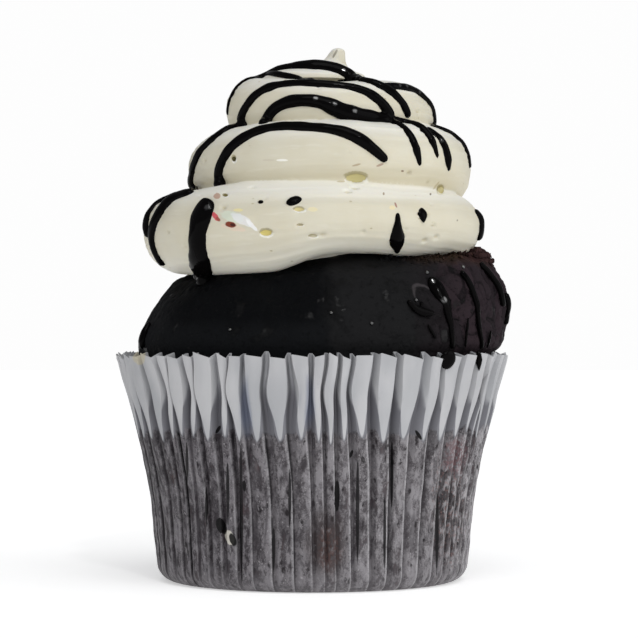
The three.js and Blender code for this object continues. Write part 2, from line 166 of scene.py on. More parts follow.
class Finish:
    def __init__(self, name):
        self.material = bpy.data.materials.new(name)
        self.material.use_nodes = True
        self.tree = self.material.node_tree
        self.shader = self.tree.nodes["Principled BSDF"]

    def node(self, kind, settings=None, sockets=None, out=0):
        made = self.tree.nodes.new(kind)
        for name, value in (settings or {}).items():
            setattr(made, name, value)
        for name, value in (sockets or {}).items():
            self.feed(made.inputs[name], value)
        return Wire(self, made.outputs[out])

    def feed(self, socket, value):
        if isinstance(value, Wire):
            self.tree.links.new(value.socket, socket)
        else:
            socket.default_value = value

    def set(self, **values):
        for name, value in values.items():
            self.feed(self.shader.inputs[name.replace("_", " ")], value)

    def mix(self, first, second, share):
        return self.node("ShaderNodeMix", {"data_type": "RGBA"}, {0: share, 6: first, 7: second}, out=2)

    def step(self, value, low, high, start=0.0, end=1.0):
        ends = {"Value": value, "From Min": low, "From Max": high, "To Min": start, "To Max": end}
        return self.node("ShaderNodeMapRange", {"interpolation_type": "SMOOTHSTEP"}, ends)

    def place(self, scale=(1, 1, 1)):
        here = self.node("ShaderNodeTexCoord", out="Object")
        return self.node("ShaderNodeMapping", None, {"Vector": here, "Scale": scale})

    def cloud(self, size_mm, detail=2.0, rough=0.5, stretch=(1, 1, 1), warp=0.0):
        sockets = {"Vector": self.place(stretch), "Scale": 1 / (size_mm * MM), "Detail": detail}
        sockets.update({"Roughness": rough, "Distortion": warp})
        return self.node("ShaderNodeTexNoise", None, sockets)

    def cells(self, size_mm, stretch=(1, 1, 1), jitter=1.0):
        sockets = {"Vector": self.place(stretch), "Scale": 1 / (size_mm * MM), "Randomness": jitter}
        return self.node("ShaderNodeTexVoronoi", {"feature": "F1"}, sockets)

    def painted(self, name):
        return self.node("ShaderNodeAttribute", {"attribute_name": name}, out="Fac")

    def bump(self, height, depth_mm, strength=1.0, under=None):
        sockets = {"Height": height, "Distance": depth_mm * MM, "Strength": strength}
        if under is not None:
            sockets["Normal"] = under
        return self.node("ShaderNodeBump", None, sockets)


def tone(red, green, blue):
    """A screen colour, 0 to 255, as the linear colour that a shader takes."""
    parts = [channel / 255 for channel in (red, green, blue)]
    return tuple(p / 12.92 if p <= 0.04045 else ((p + 0.055) / 1.055) ** 2.4 for p in parts) + (1.0,)


sweep = Finish("white_sweep")
sweep.set(Base_Color=(0.9, 0.9, 0.9, 1), Roughness=0.9, Specular_IOR_Level=0.1)
sweep.set(Emission_Color=(1, 1, 1, 1), Emission_Strength=0.45)
floor.data.materials.append(sweep.material)
print("a mid grey as a linear colour:", [round(v, 3) for v in tone(128, 128, 128)])

# %% [markdown]
# ## Modelling habits
#
# An operator works on whatever is selected, so every piece starts from nothing selected.
# Most of this cake is made the same way by hand: a circle is added, and its edge loop is
# extruded and scaled again and again, as a potter raises a wall. `raise_wall` does that. The
# finer shape then comes from moving the points by a rule, which `move_points` applies to
# every point of a mesh at once.


# %% Helpers for pieces
def start_fresh():
    if bpy.context.active_object and bpy.context.active_object.mode != "OBJECT":
        bpy.ops.object.mode_set(mode="OBJECT")
    bpy.ops.object.select_all(action="DESELECT")


def pick(piece):
    start_fresh()
    piece.select_set(True)
    bpy.context.view_layer.objects.active = piece


def raise_wall(name, sides, profile, close_top=False):
    """Extrudes a circle through (radius, height) pairs in millimetres."""
    start_fresh()
    radius, height = profile[0]
    bpy.ops.mesh.primitive_circle_add(vertices=sides, radius=radius * MM, location=(0, 0, height * MM))
    piece = bpy.context.active_object
    piece.name = name
    piece.data.name = name
    bpy.ops.object.transform_apply(location=True, rotation=True, scale=True)
    bpy.ops.object.mode_set(mode="EDIT")
    bpy.ops.mesh.select_all(action="SELECT")
    for new_radius, new_height in profile[1:]:
        rise = {"value": (0, 0, (new_height - height) * MM)}
        bpy.ops.mesh.extrude_region_move(TRANSFORM_OT_translate=rise)
        grow = new_radius / radius
        middle = (0, 0, new_height * MM)
        bpy.ops.transform.resize(value=(grow, grow, 1), center_override=middle)
        radius, height = new_radius, new_height
    if close_top:
        bpy.ops.mesh.merge(type="CENTER")
    bpy.ops.object.mode_set(mode="OBJECT")
    return piece


def points_of(piece):
    """Every point in millimetres, one row each."""
    flat = np.empty(len(piece.data.vertices) * 3)
    piece.data.vertices.foreach_get("co", flat)
    return flat.reshape(-1, 3) / MM


def move_points(piece, points):
    piece.data.vertices.foreach_set("co", (points * MM).ravel())
    piece.data.update()


def paint_points(piece, name, values):
    """Stores one number for each point, for a finish to read."""
    layer = piece.data.attributes.new(name, "FLOAT", "POINT")
    layer.data.foreach_set("value", np.asarray(values, dtype=float))


def face_outwards(piece):
    pick(piece)
    bpy.ops.object.mode_set(mode="EDIT")
    bpy.ops.mesh.select_all(action="SELECT")
    bpy.ops.mesh.normals_make_consistent(inside=False)
    bpy.ops.object.mode_set(mode="OBJECT")


def apply_modifier(piece, kind, **settings):
    pick(piece)
    modifier = piece.modifiers.new(kind.lower(), kind)
    for name, value in settings.items():
        setattr(modifier, name, value)
    bpy.ops.object.modifier_apply(modifier=modifier.name)


def ease(value, low, high):
    share = np.clip((value - low) / (high - low), 0, 1)
    return share * share * (3 - 2 * share)


def triangles(piece):
    return sum(len(face.vertices) - 2 for face in piece.data.polygons)


print("helpers ready")

# %% [markdown]
# ## The paper case
#
# A baking case is one disc of greaseproof paper pressed into flutes between two dies: broad
# ridges, pinched valleys, and all the flutes closing to almost nothing at the bottom fold.
# It could be an array of one flute bent round a circle, but every flute here leans and
# crowds its neighbours a little. So a plain cup is raised first, with sixteen points to a
# flute, and then one rule pushes its points in and round. Solidify makes the paper.

# %% Case sizes
CASE_HEIGHT = 37.3
CASE_FOLD = 2.6
FLUTES = 60
POINTS_A_FLUTE = 16
FLUTE_DEPTH = 1.7
PAPER = 0.12


def case_radius(height):
    """Over the ridges: a straight taper, a loose flare at the rim and a fold at the foot."""
    wall = 25.1 + 3.6 * height / CASE_HEIGHT + 4.1 * ease(height, 11.2, 44.8)
    below_fold = np.maximum(0, 1 - height / CASE_FOLD)
    return wall - CASE_FOLD * (1 - np.sqrt(1 - below_fold**2))


fold_rows = [2.0, 1.4, 0.9, 0.5, 0.22, 0.06, 0.0]
wall_rows = [float(h) for h in np.linspace(CASE_HEIGHT, CASE_FOLD, 40)]
case_profile = [(float(case_radius(h)), h) for h in wall_rows + fold_rows]
case_profile += [(19.5, 0.0), (13.0, 0.0), (6.0, 0.0), (2.0, 0.0)]
case = raise_wall("paper_case_pleated", FLUTES * POINTS_A_FLUTE, case_profile, close_top=True)
print("plain cup:", len(case.data.vertices), "points")

# %% [markdown]
# The rule reads each point's height and its number in its flute. Points 0 to 9 make the
# ridge, then come two for the step down, two for the valley floor and three for the way
# out. Where those stretches end on the pitch changes with height: the ridge is broad at the
# loose rim, pinches in just above the cake's edge, and spreads again where the cake presses
# the paper flat. The creases fall exactly on rows of points, so they stay sharp. Near the
# rim every flute has its own width, depth, slant and tilt, and half way down from it a kink
# to one side.

# %% Press the flutes
dice = random.Random(11)
flute_depths = np.array([dice.uniform(0.75, 1.08) for _ in range(FLUTES)])
slit_depths = np.array([dice.choice([0.3, 0.5, 0.8, 1.0]) for _ in range(FLUTES)])
flute_tilts = np.array([dice.uniform(-0.05, 0.34) for _ in range(FLUTES)])
flute_starts = np.array([dice.uniform(-0.3, 0.3) for _ in range(FLUTES)] + [0.0])
flute_starts[FLUTES] = flute_starts[0]
left_drops = np.array([dice.uniform(0.1, 0.9) for _ in range(FLUTES)])
right_drops = np.array([dice.uniform(0.4, 1.3) for _ in range(FLUTES)])
valley_drops = np.array([dice.uniform(0.0, 0.4) for _ in range(FLUTES)])
flute_moods = np.array([dice.random() for _ in range(FLUTES)])
crease_moods = np.array([dice.choice([0.0, 0.25, 0.6, 1.0]) for _ in range(FLUTES)])
flute_kinks = np.array([dice.uniform(-0.34, 0.34) for _ in range(FLUTES)] + [0.0])
flute_kinks[FLUTES] = flute_kinks[0]

spots = points_of(case)
heights = spots[:, 2].copy()
radii = np.hypot(spots[:, 0], spots[:, 1])
turns = (np.arctan2(spots[:, 1], spots[:, 0]) / TAU) % 1
numbered = np.round(turns * FLUTES * POINTS_A_FLUTE).astype(int)
flute = (numbered // POINTS_A_FLUTE) % FLUTES
point = numbered % POINTS_A_FLUTE

loose = ease(heights, 14, CASE_HEIGHT)
held_depth = 0.12 + 0.43 * ease(heights, 0, 2.6 * CASE_FOLD)
foot_press = held_depth + (1 - held_depth) * ease(heights, 11.2, CASE_HEIGHT)
pinch = np.exp(-(((heights - 25.5) / 5.5) ** 2))
on_ridge = np.clip(point / 9, 0, 1)
going_in = np.clip((point - 9) / 2, 0, 1)
along_floor = np.clip((point - 11) / 2, 0, 1)
coming_out = np.clip((point - 13) / 3, 0, 1)
ridge_share = 0.62 + 0.05 * loose - 0.17 * pinch
in_share = 0.07 + 0.07 * pinch
floor_share = 0.12 + 0.02 * pinch
out_share = 1 - ridge_share - in_share - floor_share
across = ridge_share * on_ridge + in_share * going_in + floor_share * along_floor + out_share * coming_out

valley = going_in - coming_out
ridge_tilt = flute_tilts[flute] * loose * on_ridge - 0.09 * np.sin(math.pi * on_ridge)
steepest = flute_depths[flute] * (loose + (1 - loose) * slit_depths[flute])
depth_share = ridge_tilt * (1 - valley) + valley * steepest
on_wall = ease(radii, 17, 21)
radii = radii - FLUTE_DEPTH * depth_share * foot_press * on_wall

kinked = np.exp(-(((heights - 31.0) / 3.2) ** 2))
start = flute_starts[flute] * loose + flute_kinks[flute] * kinked
end = flute_starts[flute + 1] * loose + flute_kinks[flute + 1] * kinked
spread = start + (end - start) * across
round_the_case = (flute + across) / FLUTES
crowding = 0.3 * np.sin(TAU * (round_the_case * 7 + 0.1)) + 0.12 * np.sin(TAU * (round_the_case * 13 + 0.6))
lean = 0.5 * (heights / CASE_HEIGHT) * np.sin(TAU * (round_the_case * 3 + 0.35))
angles = TAU * (round_the_case + (crowding + lean + spread) / FLUTES)

rim = np.clip((heights - CASE_HEIGHT + 2.7) / 2.7, 0, 1)
ridge_drop = left_drops[flute] + (right_drops[flute] - left_drops[flute]) * on_ridge
drop = ridge_drop * (1 - valley) + valley_drops[flute] * valley
dent = np.array([noise.noise(Vector(p) / 6.0) for p in spots]) * 0.3 * loose
crumple = np.array([noise.noise(Vector(p) / 2.2) for p in spots]) * 0.12 * (1 - loose) * ease(heights, 1, 5)
radii = radii + (dent + crumple) * on_wall - 0.3 * loose
pressed = np.stack([radii * np.cos(angles), radii * np.sin(angles), heights - rim * drop], axis=1)
move_points(case, pressed)
print("flutes pressed, deepest", round(float(FLUTE_DEPTH * depth_share.max()), 2), "mm")

# %% [markdown]
# The finish needs to know where on a flute it is, which it can't work out from a place in
# space. So a few numbers are painted on the points before the paper gets its thickness:
# how deep in a valley they lie, how far from the middle of the ridge, the ridge's
# right-hand fold, which gets a painted highlight, the crease on the left of some valleys,
# which gets a painted dark line of shade, and one chance number for each flute.

# %% Paint the flutes, then give the paper its thickness
right_of_middle = np.where(on_ridge > 0.45, (on_ridge - 0.45) / 0.55, (0.45 - on_ridge) / 0.45)
paint_points(case, "valley", valley)
paint_points(case, "off_middle", np.where(point > 9, 1.0, right_of_middle))
paint_points(case, "highlight_fold", np.select([point == 8, point == 9], [0.55, 1.0], 0.0))
paint_points(case, "crease", np.select([point == 10, point == 11], [1.0, 0.6], 0.0) * crease_moods[flute])
paint_points(case, "mood", flute_moods[flute])
face_outwards(case)
apply_modifier(case, "SOLIDIFY", thickness=PAPER * MM, offset=-1)
pick(case)
bpy.ops.object.shade_smooth_by_angle(angle=math.radians(38))
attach(case, "root")
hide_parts("paper_case")
print("case:", triangles(case), "triangles")

# %% [markdown]
# ## Greaseproof paper
#
# Above the cake's edge the paper is dry: a cool light grey, plain and matt. Lower down,
# cake and butter have soaked in. There it is translucent, a grey mauve, and the crumb
# pressed against its back shows through as fine dark speckle, streaks and a few blots.
# Valleys are painted darker as shade, dry or soaked, some creases get a painted dark line
# of shade, and each ridge's right-hand fold gets a painted highlight. Above the soaked part
# there is a margin that is only damp, and its edge isn't straight: on each ridge dry paper
# runs down to a point like a leaf, and beside the ridge and in the valley the damp creeps
# up. Both edges are heights, raised by the painted numbers.

# %% Where the paper is soaked
paper = Finish("greaseproof_paper")
in_valley = paper.painted("valley")
off_middle = paper.painted("off_middle")
highlight_fold = paper.painted("highlight_fold")
crease = paper.painted("crease")
mood = paper.painted("mood")
here = paper.node("ShaderNodeTexCoord", out="Object")
x = paper.node("ShaderNodeSeparateXYZ", None, {0: here}, out="X") / MM
y = paper.node("ShaderNodeSeparateXYZ", None, {0: here}, out="Y") / MM
z = paper.node("ShaderNodeSeparateXYZ", None, {0: here}, out="Z") / MM

wander = paper.cloud(3.0, detail=3, rough=0.6) - 0.5
leaf = off_middle * off_middle
soak_line = 23.2 + leaf * 1.3 + mood * 1.1 + wander * 2.4
soaked = 1 - paper.step(z - soak_line, -0.3, 0.3)
damp_line = 23.2 + leaf * 4.6 + in_valley * 1.6 + mood * 1.6 + wander * 1.6
damp = 1 - paper.step(z - damp_line, -0.3, 0.4 + in_valley * 4.0)
print("soak line set")

# %% Dry paper
fibres = paper.cloud(0.9, detail=3, rough=0.6, stretch=(1, 1, 0.35))
shade = paper.cloud(5, detail=2, stretch=(1, 1, 0.4))
dry = paper.mix(tone(170, 171, 174), tone(188, 188, 190), paper.step(shade, 0.3, 0.7))
dry = paper.mix(dry, tone(156, 157, 161), paper.step(fibres, 0.62, 0.8) * 0.4)
# Painted shade: valleys darker, darker still where damp, and a dark line of shade along some creases.
dry = paper.mix(dry, tone(140, 141, 145), in_valley * 0.6)
dry = paper.mix(dry, tone(112, 112, 118), damp * 0.9)
dry = paper.mix(dry, tone(88, 87, 92), damp * in_valley * 0.7)
dry = paper.mix(dry, tone(66, 65, 68), crease * paper.step(shade, 0.7, 0.4) * 0.7)

# %% Soaked paper
grit = paper.cloud(0.24, detail=2, rough=0.6)
speckle = paper.cloud(0.42, detail=3, rough=0.62, stretch=(1, 1, 0.75))
grime = paper.cloud(0.95, detail=4, rough=0.66, stretch=(1, 1, 0.5), warp=0.4)
blots = paper.cloud(3.4, detail=3, rough=0.6, stretch=(1, 1, 0.5), warp=0.6)
streaks = paper.cloud(0.55, detail=3, rough=0.6, stretch=(1, 1, 0.12))
crumbs = paper.cells(1.3, stretch=(1, 1, 0.6))
# Painted shade and light: the soaked paper is darker towards the left and lighter at the far right, broken up
# by blots.
shaded_left = paper.step(x + (blots - 0.5) * 22, 12, -20)
wet_light = paper.mix(tone(136, 133, 136), tone(114, 110, 114), shaded_left)
wet_light = paper.mix(wet_light, tone(168, 165, 168), paper.step(x, 21, 25))
wet_dark = paper.mix(tone(76, 72, 75), tone(48, 44, 48), shaded_left)
showing = paper.step(grime * 0.42 + blots * 0.26 + speckle * 0.2 + grit * 0.12, 0.43, 0.56)
wet = paper.mix(wet_light, wet_dark, showing)
wet = paper.mix(wet, tone(80, 60, 62), paper.step(blots, 0.56, 0.7) * paper.step(grime, 0.45, 0.6) * 0.5)
pools = paper.cloud(2.1, detail=2, rough=0.5, stretch=(1, 1, 0.3), warp=0.5)
wet = paper.mix(wet, tone(50, 46, 50), paper.step(pools, 0.54, 0.66) * 0.55)
wet = paper.mix(wet, tone(138, 135, 139), paper.step(pools, 0.45, 0.34) * 0.35)
flecks = paper.step(speckle, 0.58, 0.68) * paper.step(blots, 0.6, 0.46)
wet = paper.mix(wet, tone(176, 173, 176), flecks * 0.5)
crumb_marks = paper.step(crumbs, 0.32, 0.16) * paper.step(grime, 0.46, 0.54)
wet = paper.mix(wet, tone(26, 22, 24), crumb_marks * 0.85)
wet = paper.mix(wet, tone(42, 38, 41), paper.step(streaks, 0.58, 0.68) * paper.step(blots, 0.42, 0.6) * 0.7)
# Painted shade: soaked valleys darker and a near black line of shade along some creases.
wet = paper.mix(wet, tone(58, 54, 58), in_valley * 0.5)
wet = paper.mix(wet, tone(14, 12, 14), crease * paper.step(grime, 0.32, 0.45) * 0.97)
# Painted highlight: a pale line along each ridge's right-hand fold, weaker on the left.
lit_fold = highlight_fold * paper.step(speckle, 0.34, 0.5) * (1 - shaded_left * 0.6)
wet = paper.mix(wet, tone(186, 184, 187), lit_fold * 0.62)
# Painted shade: the far left edge of the case darker still.
wet = paper.mix(wet, tone(50, 46, 50), paper.step(x, -21.5, -25) * paper.step(grime, 0.38, 0.56) * 0.7)
foot_light = paper.step(z, 4.5, 0.8)
wet = paper.mix(wet, tone(112, 109, 112), foot_light * 0.3)
colour = paper.mix(dry, wet, soaked)
print("dry and soaked tones mixed")

# %% [markdown]
# Marks that a person would notice are placed one by one: a brown oily blot low on the
# front, two torn pinholes with paper curling pale round one of them, some caught crumbs,
# long thin dark lines, painted bluish shade in two valleys, a buttery stain on the rim and
# a russet patch on the right.


# %% Marks on the front of the paper
def spot(across_mm, up_mm, wide_mm, tall_mm, ragged=0.5, slant=0.0, edge=(0.75, 1.15)):
    """A ragged mark on the front of the case."""
    side = (x - across_mm - (z - up_mm) * slant) / wide_mm
    rise = (z - up_mm) / tall_mm
    reach = side * side + rise * rise + (grime - 0.5) * ragged
    front = paper.step(y, 2, -2)
    return (1 - paper.step(reach, *edge)) * front


soft = (0.1, 1.7)
oily = spot(2.2, 8.0, 3.0, 4.8, 4.5, edge=soft)
colour = paper.mix(colour, tone(38, 33, 34), oily * paper.step(grime, 0.36, 0.5) * 0.85)
colour = paper.mix(colour, tone(66, 56, 56), oily * 0.4)
brown = spot(2.6, 7.0, 1.7, 3.2, 3.6, edge=soft) * paper.step(speckle, 0.42, 0.56)
colour = paper.mix(colour, tone(84, 62, 58), brown * 0.6)
russet = spot(21.6, 12.5, 2.8, 9.5, 5.0, edge=soft) * soaked
colour = paper.mix(colour, tone(30, 23, 25), russet * paper.step(grime, 0.42, 0.54) * 0.8)
colour = paper.mix(colour, tone(118, 88, 84), russet * paper.step(speckle, 0.54, 0.64) * 0.6)
rosy = spot(22.6, 20.8, 2.0, 2.8, 4.0, edge=soft) * soaked * paper.step(speckle, 0.4, 0.56)
colour = paper.mix(colour, tone(106, 76, 80), rosy * 0.75)
# Painted shade: a bluish cast in two valleys beside the ridges.
for mark in ((-9.9, 29.0, 1.2, 4.4), (-0.6, 29.8, 1.2, 3.8)):
    beside_ridge = paper.step(off_middle, 0.2, 0.9)
    colour = paper.mix(colour, tone(96, 105, 128), spot(*mark, 1.0, edge=soft) * beside_ridge * 0.5)
colour = paper.mix(colour, tone(206, 202, 192), spot(-12.75, 8.5, 0.75, 1.15, 0.8, slant=-0.2) * 0.85)
pinholes = [(-14.1, 10.2, 0.8, 1.3, 1.6, -0.3), (-12.25, 8.2, 0.55, 1.0, 1.0, -0.25)]
caught_crumbs = [(-14.5, 25.2, 0.32, 0.62, 1.4, 0.5), (16.4, 24.4, 0.34, 0.75, 1.4, -0.6)]
caught_crumbs += [(3.8, 15.2, 0.4, 2.6, 2.2, 0.0), (-10.4, 16.6, 0.3, 0.9, 1.6, 0.0)]
caught_crumbs += [(6.0, 21.6, 0.25, 0.6, 1.4, 0.3)]
thin_lines = [(-10.9, 12.4, 0.27, 11.0, 1.0), (-13.0, 15.5, 0.25, 4.4, 2.2), (-16.4, 13.0, 0.24, 3.2, 2.2)]
thin_lines += [(-5.9, 7.1, 0.26, 3.6, 1.2), (-19.5, 19.9, 0.24, 3.1, 1.6), (-3.4, 15.0, 0.24, 4.4, 2.2)]
thin_lines += [(7.0, 12.9, 0.26, 8.2, 1.2), (12.3, 18.4, 0.24, 5.3, 1.4), (19.6, 8.9, 0.3, 6.6, 1.8)]
thin_lines += [(11.2, 9.5, 0.22, 6.0, 1.4)]
# Long thin dark lines on the soaked paper.
for mark in thin_lines:
    colour = paper.mix(colour, tone(14, 12, 14), spot(*mark) * 0.93)
for mark in pinholes + caught_crumbs:
    colour = paper.mix(colour, tone(8, 7, 8), spot(*mark) * 0.97)
colour = paper.mix(colour, tone(188, 180, 156), spot(-27.2, 36.4, 1.2, 1.2, 1.6) * 0.75)
print("marks placed")

# %% Paper finish
pocks = paper.cells(0.85, stretch=(1, 1, 0.8))
pressed_crumb = paper.step(pocks, 0.1, 0.6) * 0.5 + grime * 0.9 + speckle * 0.4
relief = soaked * pressed_crumb + fibres * 0.12
paper.set(Base_Color=colour, Roughness=paper.step(soaked, 0, 1, 0.7, 0.52), Specular_IOR_Level=0.16)
paper.set(Normal=paper.bump(relief, 0.2, 0.8))
case.data.materials.clear()
case.data.materials.append(paper.material)
print("paper finish:", len(paper.tree.nodes), "nodes")

# %% [markdown]
# ## The cake
#
# The batter filled the case, rose over its rim and set unevenly: high towards the back
# right, low towards the front left. Two outlines from rim to middle describe those two
# sides, and every other side is a blend of them. The cake could be sculpted, but a raised
# wall whose rows are then laid along the blended outline gives even, square faces for the
# crumb to push about.

# %% Cake sizes and its two outlines
CAKE_SIDES = 560
DOME_START = 37.0
DOME_ROWS = 112
LOW_SIDE = [[28.4, 37.0], [28.3, 39.4], [27.1, 41.8], [25.4, 44.4], [23.1, 46.8], [20.4, 49.0]]
LOW_SIDE += [[14.5, 51.0], [6, 52.2]]
HIGH_SIDE = [[29.6, 37.1], [31.2, 38.4], [32.2, 42.0], [32.6, 46.0], [31.7, 49.6], [29.0, 52.8]]
HIGH_SIDE += [[20, 55.0], [8, 54.8]]
HIGHEST_TOWARDS = math.radians(30)


def along_outline(outline, share):
    """A smooth curve through an outline's points. share runs from 0 to 1."""
    knots = np.array(outline, dtype=float)
    last = len(knots) - 1
    place = np.clip(share, 0, 1) * last
    start = np.minimum(place.astype(int), last - 1)
    u = (place - start)[:, None]
    before, after = knots[np.maximum(start - 1, 0)], knots[np.minimum(start + 2, last)]
    a, b = knots[start], knots[start + 1]
    leave, arrive = (b - before) / 2, (after - a) / 2
    curve = (2 * u**3 - 3 * u**2 + 1) * a + (u**3 - 2 * u**2 + u) * leave
    return curve + (3 * u**2 - 2 * u**3) * b + (u**3 - u**2) * arrive


held_rows = [(3.4, 8), (14.0, 14), (25.0, 14), (33.0, 10)]
cake_profile = [(3.0, 0.79), (12.0, 0.8), (float(case_radius(3.4)) - 4.8, 0.82)]
for height, _ in held_rows:
    cake_profile.append((float(case_radius(height)) - 2.4, height))
for row in range(DOME_ROWS):
    cake_profile.append((28.0 - 0.18 * row, DOME_START + 0.18 * row))
cake = raise_wall("cake_crumb", CAKE_SIDES, cake_profile, close_top=True)
print("plain cake:", len(cake.data.vertices), "points")

# %% [markdown]
# The dome's rows were raised at even heights only so that each can be told apart. Now they
# take their true places. Most of them are crowded where the outline can be seen, and few are
# left for the part under the swirl. Broad lumps come next, then the features that a baker
# would point out: a fold down the front where two rises met, a crust that tore and lifted on
# the right, and a ragged flap at the top right. There and at the back the crust dried in
# long leathery plates with splits between them: the gap between the nearest and the second
# nearest seed of a Voronoi pattern is small just along the splits. Last comes crumb, as
# fractal noise. The crust set tight and smooth, so it needs only a little.

# %% Lay the dome
spots = points_of(cake)
angle = np.arctan2(spots[:, 1], spots[:, 0])
share = (spots[:, 2] - DOME_START) / (0.18 * (DOME_ROWS - 1))
on_dome = share > -0.001
crowded = np.where(share < 0.85, share * 0.86, 0.731 + (share - 0.85) * 1.79)
blend = ((1 + np.cos(angle - HIGHEST_TOWARDS)) / 2)[:, None]
outline = (1 - blend) * along_outline(LOW_SIDE, crowded) + blend * along_outline(HIGH_SIDE, crowded)
laid = np.stack([outline[:, 0] * np.cos(angle), outline[:, 0] * np.sin(angle), outline[:, 1]], axis=1)
laid[share > 0.9999] = (0, 0, 53.2)
spots = np.where(on_dome[:, None], laid, spots)
move_points(cake, spots)
face_outwards(cake)

# %% Break its surface
outward = np.empty(len(spots) * 3)
cake.data.vertices.foreach_get("normal", outward)
outward = outward.reshape(-1, 3)
clear_of_rim = ease(spots[:, 2], 37.8, 41.5)
lumps = np.array([noise.noise(Vector(p) / 9.0) for p in spots]) * 0.75
lumps += np.array([noise.noise(Vector(p) / 4.0 + Vector((7, 3, 1))) for p in spots]) * 0.32


def feature(across_mm, up_mm, wide, tall, height, slant=0.0, sharpness=2):
    """A rise, or a hollow where height is negative, on the front of the dome."""
    side = spots[:, 0] - across_mm
    rise = spots[:, 2] - up_mm
    along = side * math.cos(slant) + rise * math.sin(slant)
    over = rise * math.cos(slant) - side * math.sin(slant)
    near = np.abs(along / wide) ** sharpness + np.abs(over / tall) ** sharpness
    return height * np.exp(-near) * (spots[:, 1] < 4)


features = feature(-4.6, 43.5, 2.6, 6.0, -0.7) + feature(-12.0, 46.0, 4.0, 4.0, 0.35)
features += feature(5.4, 45.5, 3.0, 4.6, 0.45, sharpness=4) + feature(1.9, 45.6, 0.5, 3.4, -0.3)
features += feature(17.8, 45.3, 2.5, 1.15, 0.7, -0.75, sharpness=4) + feature(20.0, 44.2, 0.8, 0.4, 0.4, 0.5)
features += feature(2.6, 43.2, 0.7, 1.0, -0.5, 0.3) + feature(9.2, 42.4, 0.6, 0.4, 0.35)
features += feature(-2.7, 45.4, 0.9, 0.5, -0.35, 0.6) + feature(23.4, 47.6, 0.5, 2.8, 0.25, 0.35)
features += feature(27.4, 53.0, 1.9, 0.7, 1.1, -0.35, sharpness=4) + feature(25.6, 51.9, 1.3, 0.5, -0.8, -0.3)
features += feature(20.6, 52.4, 1.4, 0.5, -0.6, 0.3) + feature(22.6, 52.9, 0.9, 0.7, 0.6)
features += feature(25.2, 44.2, 0.5, 1.3, 0.3, -0.4) + feature(26.6, 43.0, 0.5, 0.6, -0.4)

plate_gap = np.empty(len(spots))
plate_mood = np.empty(len(spots))
for number, (px, py, pz) in enumerate(spots):
    wander = noise.noise_vector(Vector((px, py, pz)) / 4.0) * 0.45
    long_way = Vector((px * 0.34 + pz * 0.15, py * 0.34, pz * 0.1 - px * 0.03))
    seeded = noise.voronoi(long_way + wander)
    plate_gap[number] = seeded[0][1] - seeded[0][0]
    plate_mood[number] = (seeded[1][0].x * 12.99 + seeded[1][0].z * 78.23) % 1
leathery = np.clip(ease(spots[:, 0], 15, 22) + ease(spots[:, 1], 4, 16), 0, 1) * on_dome
thin_lines = (1 - ease(plate_gap, 0.0, 0.11)) * leathery
plates = (0.36 * ease(plate_gap, 0.0, 0.35) + 0.2 * (plate_mood - 0.5)) * leathery
crumb = np.array([noise.fractal(Vector(p) / 2.1, 0.85, 2.2, 4) for p in spots]) * 0.13
pits = np.array([noise.noise(Vector(p) / 1.3 + Vector((3, 9, 4))) for p in spots])
crumb -= 0.22 * ease(pits, 0.3, 0.62)
craggy_side = ease(spots[:, 0], 8, 24) * 0.9 + ease(spots[:, 1], 2, 16) * 0.7
crumb *= 0.6 + np.clip(craggy_side, 0, 1)
push = (lumps + features + crumb + plates - 0.18 * leathery) * clear_of_rim
push += crumb * 0.3 * ease(spots[:, 2], 36.4, 38)
move_points(cake, spots + outward * (push * on_dome)[:, None])
paint_points(cake, "split", thin_lines)
paint_points(cake, "plate", plate_mood * leathery)
pick(cake)
bpy.ops.object.shade_smooth()
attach(cake, "root")
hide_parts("cake")
print("cake:", triangles(cake), "triangles, crumb up to", round(float(crumb.max()), 2), "mm")

# %% [markdown]
# ## Dark chocolate crumb
#
# The crust is so dark that any gloss would show as grey, so the specular level on its socket
# is close to nothing. Tint and painted shade do the rest: near black on the left, which is
# painted shadow under the swirl that lifts a little lower down and at the far left, charcoal
# past the fold and a purplish brown on the right, where the crust is thin. Broad stains keep
# those changes ragged. The splits between plates get painted shade and the torn flap a
# painted highlight along its upper edge. Where the crust is damp with syrup it has a coat,
# and the coat carries the sparks.

# %% Crumb finish
crust = Finish("dark_chocolate_crust")
here = crust.node("ShaderNodeTexCoord", out="Object")
x = crust.node("ShaderNodeSeparateXYZ", None, {0: here}, out="X") / MM
y = crust.node("ShaderNodeSeparateXYZ", None, {0: here}, out="Y") / MM
z = crust.node("ShaderNodeSeparateXYZ", None, {0: here}, out="Z") / MM
patches = crust.cloud(8, detail=3)
stains = crust.cloud(3.2, detail=3, rough=0.6)
grains = crust.cloud(0.8, detail=4, rough=0.7)
specks = crust.cells(1.1)
# Painted shadow: near black on the left under the swirl, lifting lower down and at the far left.
past_fold = crust.step(x + (patches - 0.5) * 7 + (stains - 0.5) * 2.5, 0.6, 4.2)
thin_side = crust.step(x + (patches - 0.5) * 16, 14, 27)
colour = crust.mix(tone(9, 10, 12), tone(27, 27, 28), past_fold)
colour = crust.mix(colour, tone(23, 23, 25), crust.step(x, -19, -27) * 0.8)
low_down = crust.step(z + (stains - 0.5) * 3, 43.0, 39.8) * (1 - past_fold)
colour = crust.mix(colour, tone(20, 21, 23), low_down * 0.75)
colour = crust.mix(colour, tone(43, 36, 40), thin_side)
plate_wire = crust.painted("plate")
colour = crust.mix(colour, tone(53, 41, 46), crust.step(plate_wire, 0.5, 0.66) * 0.35)
dark_plate = crust.step(plate_wire, 0.34, 0.28) * crust.step(plate_wire, 0.02, 0.06)
colour = crust.mix(colour, tone(24, 21, 23), dark_plate * 0.4)
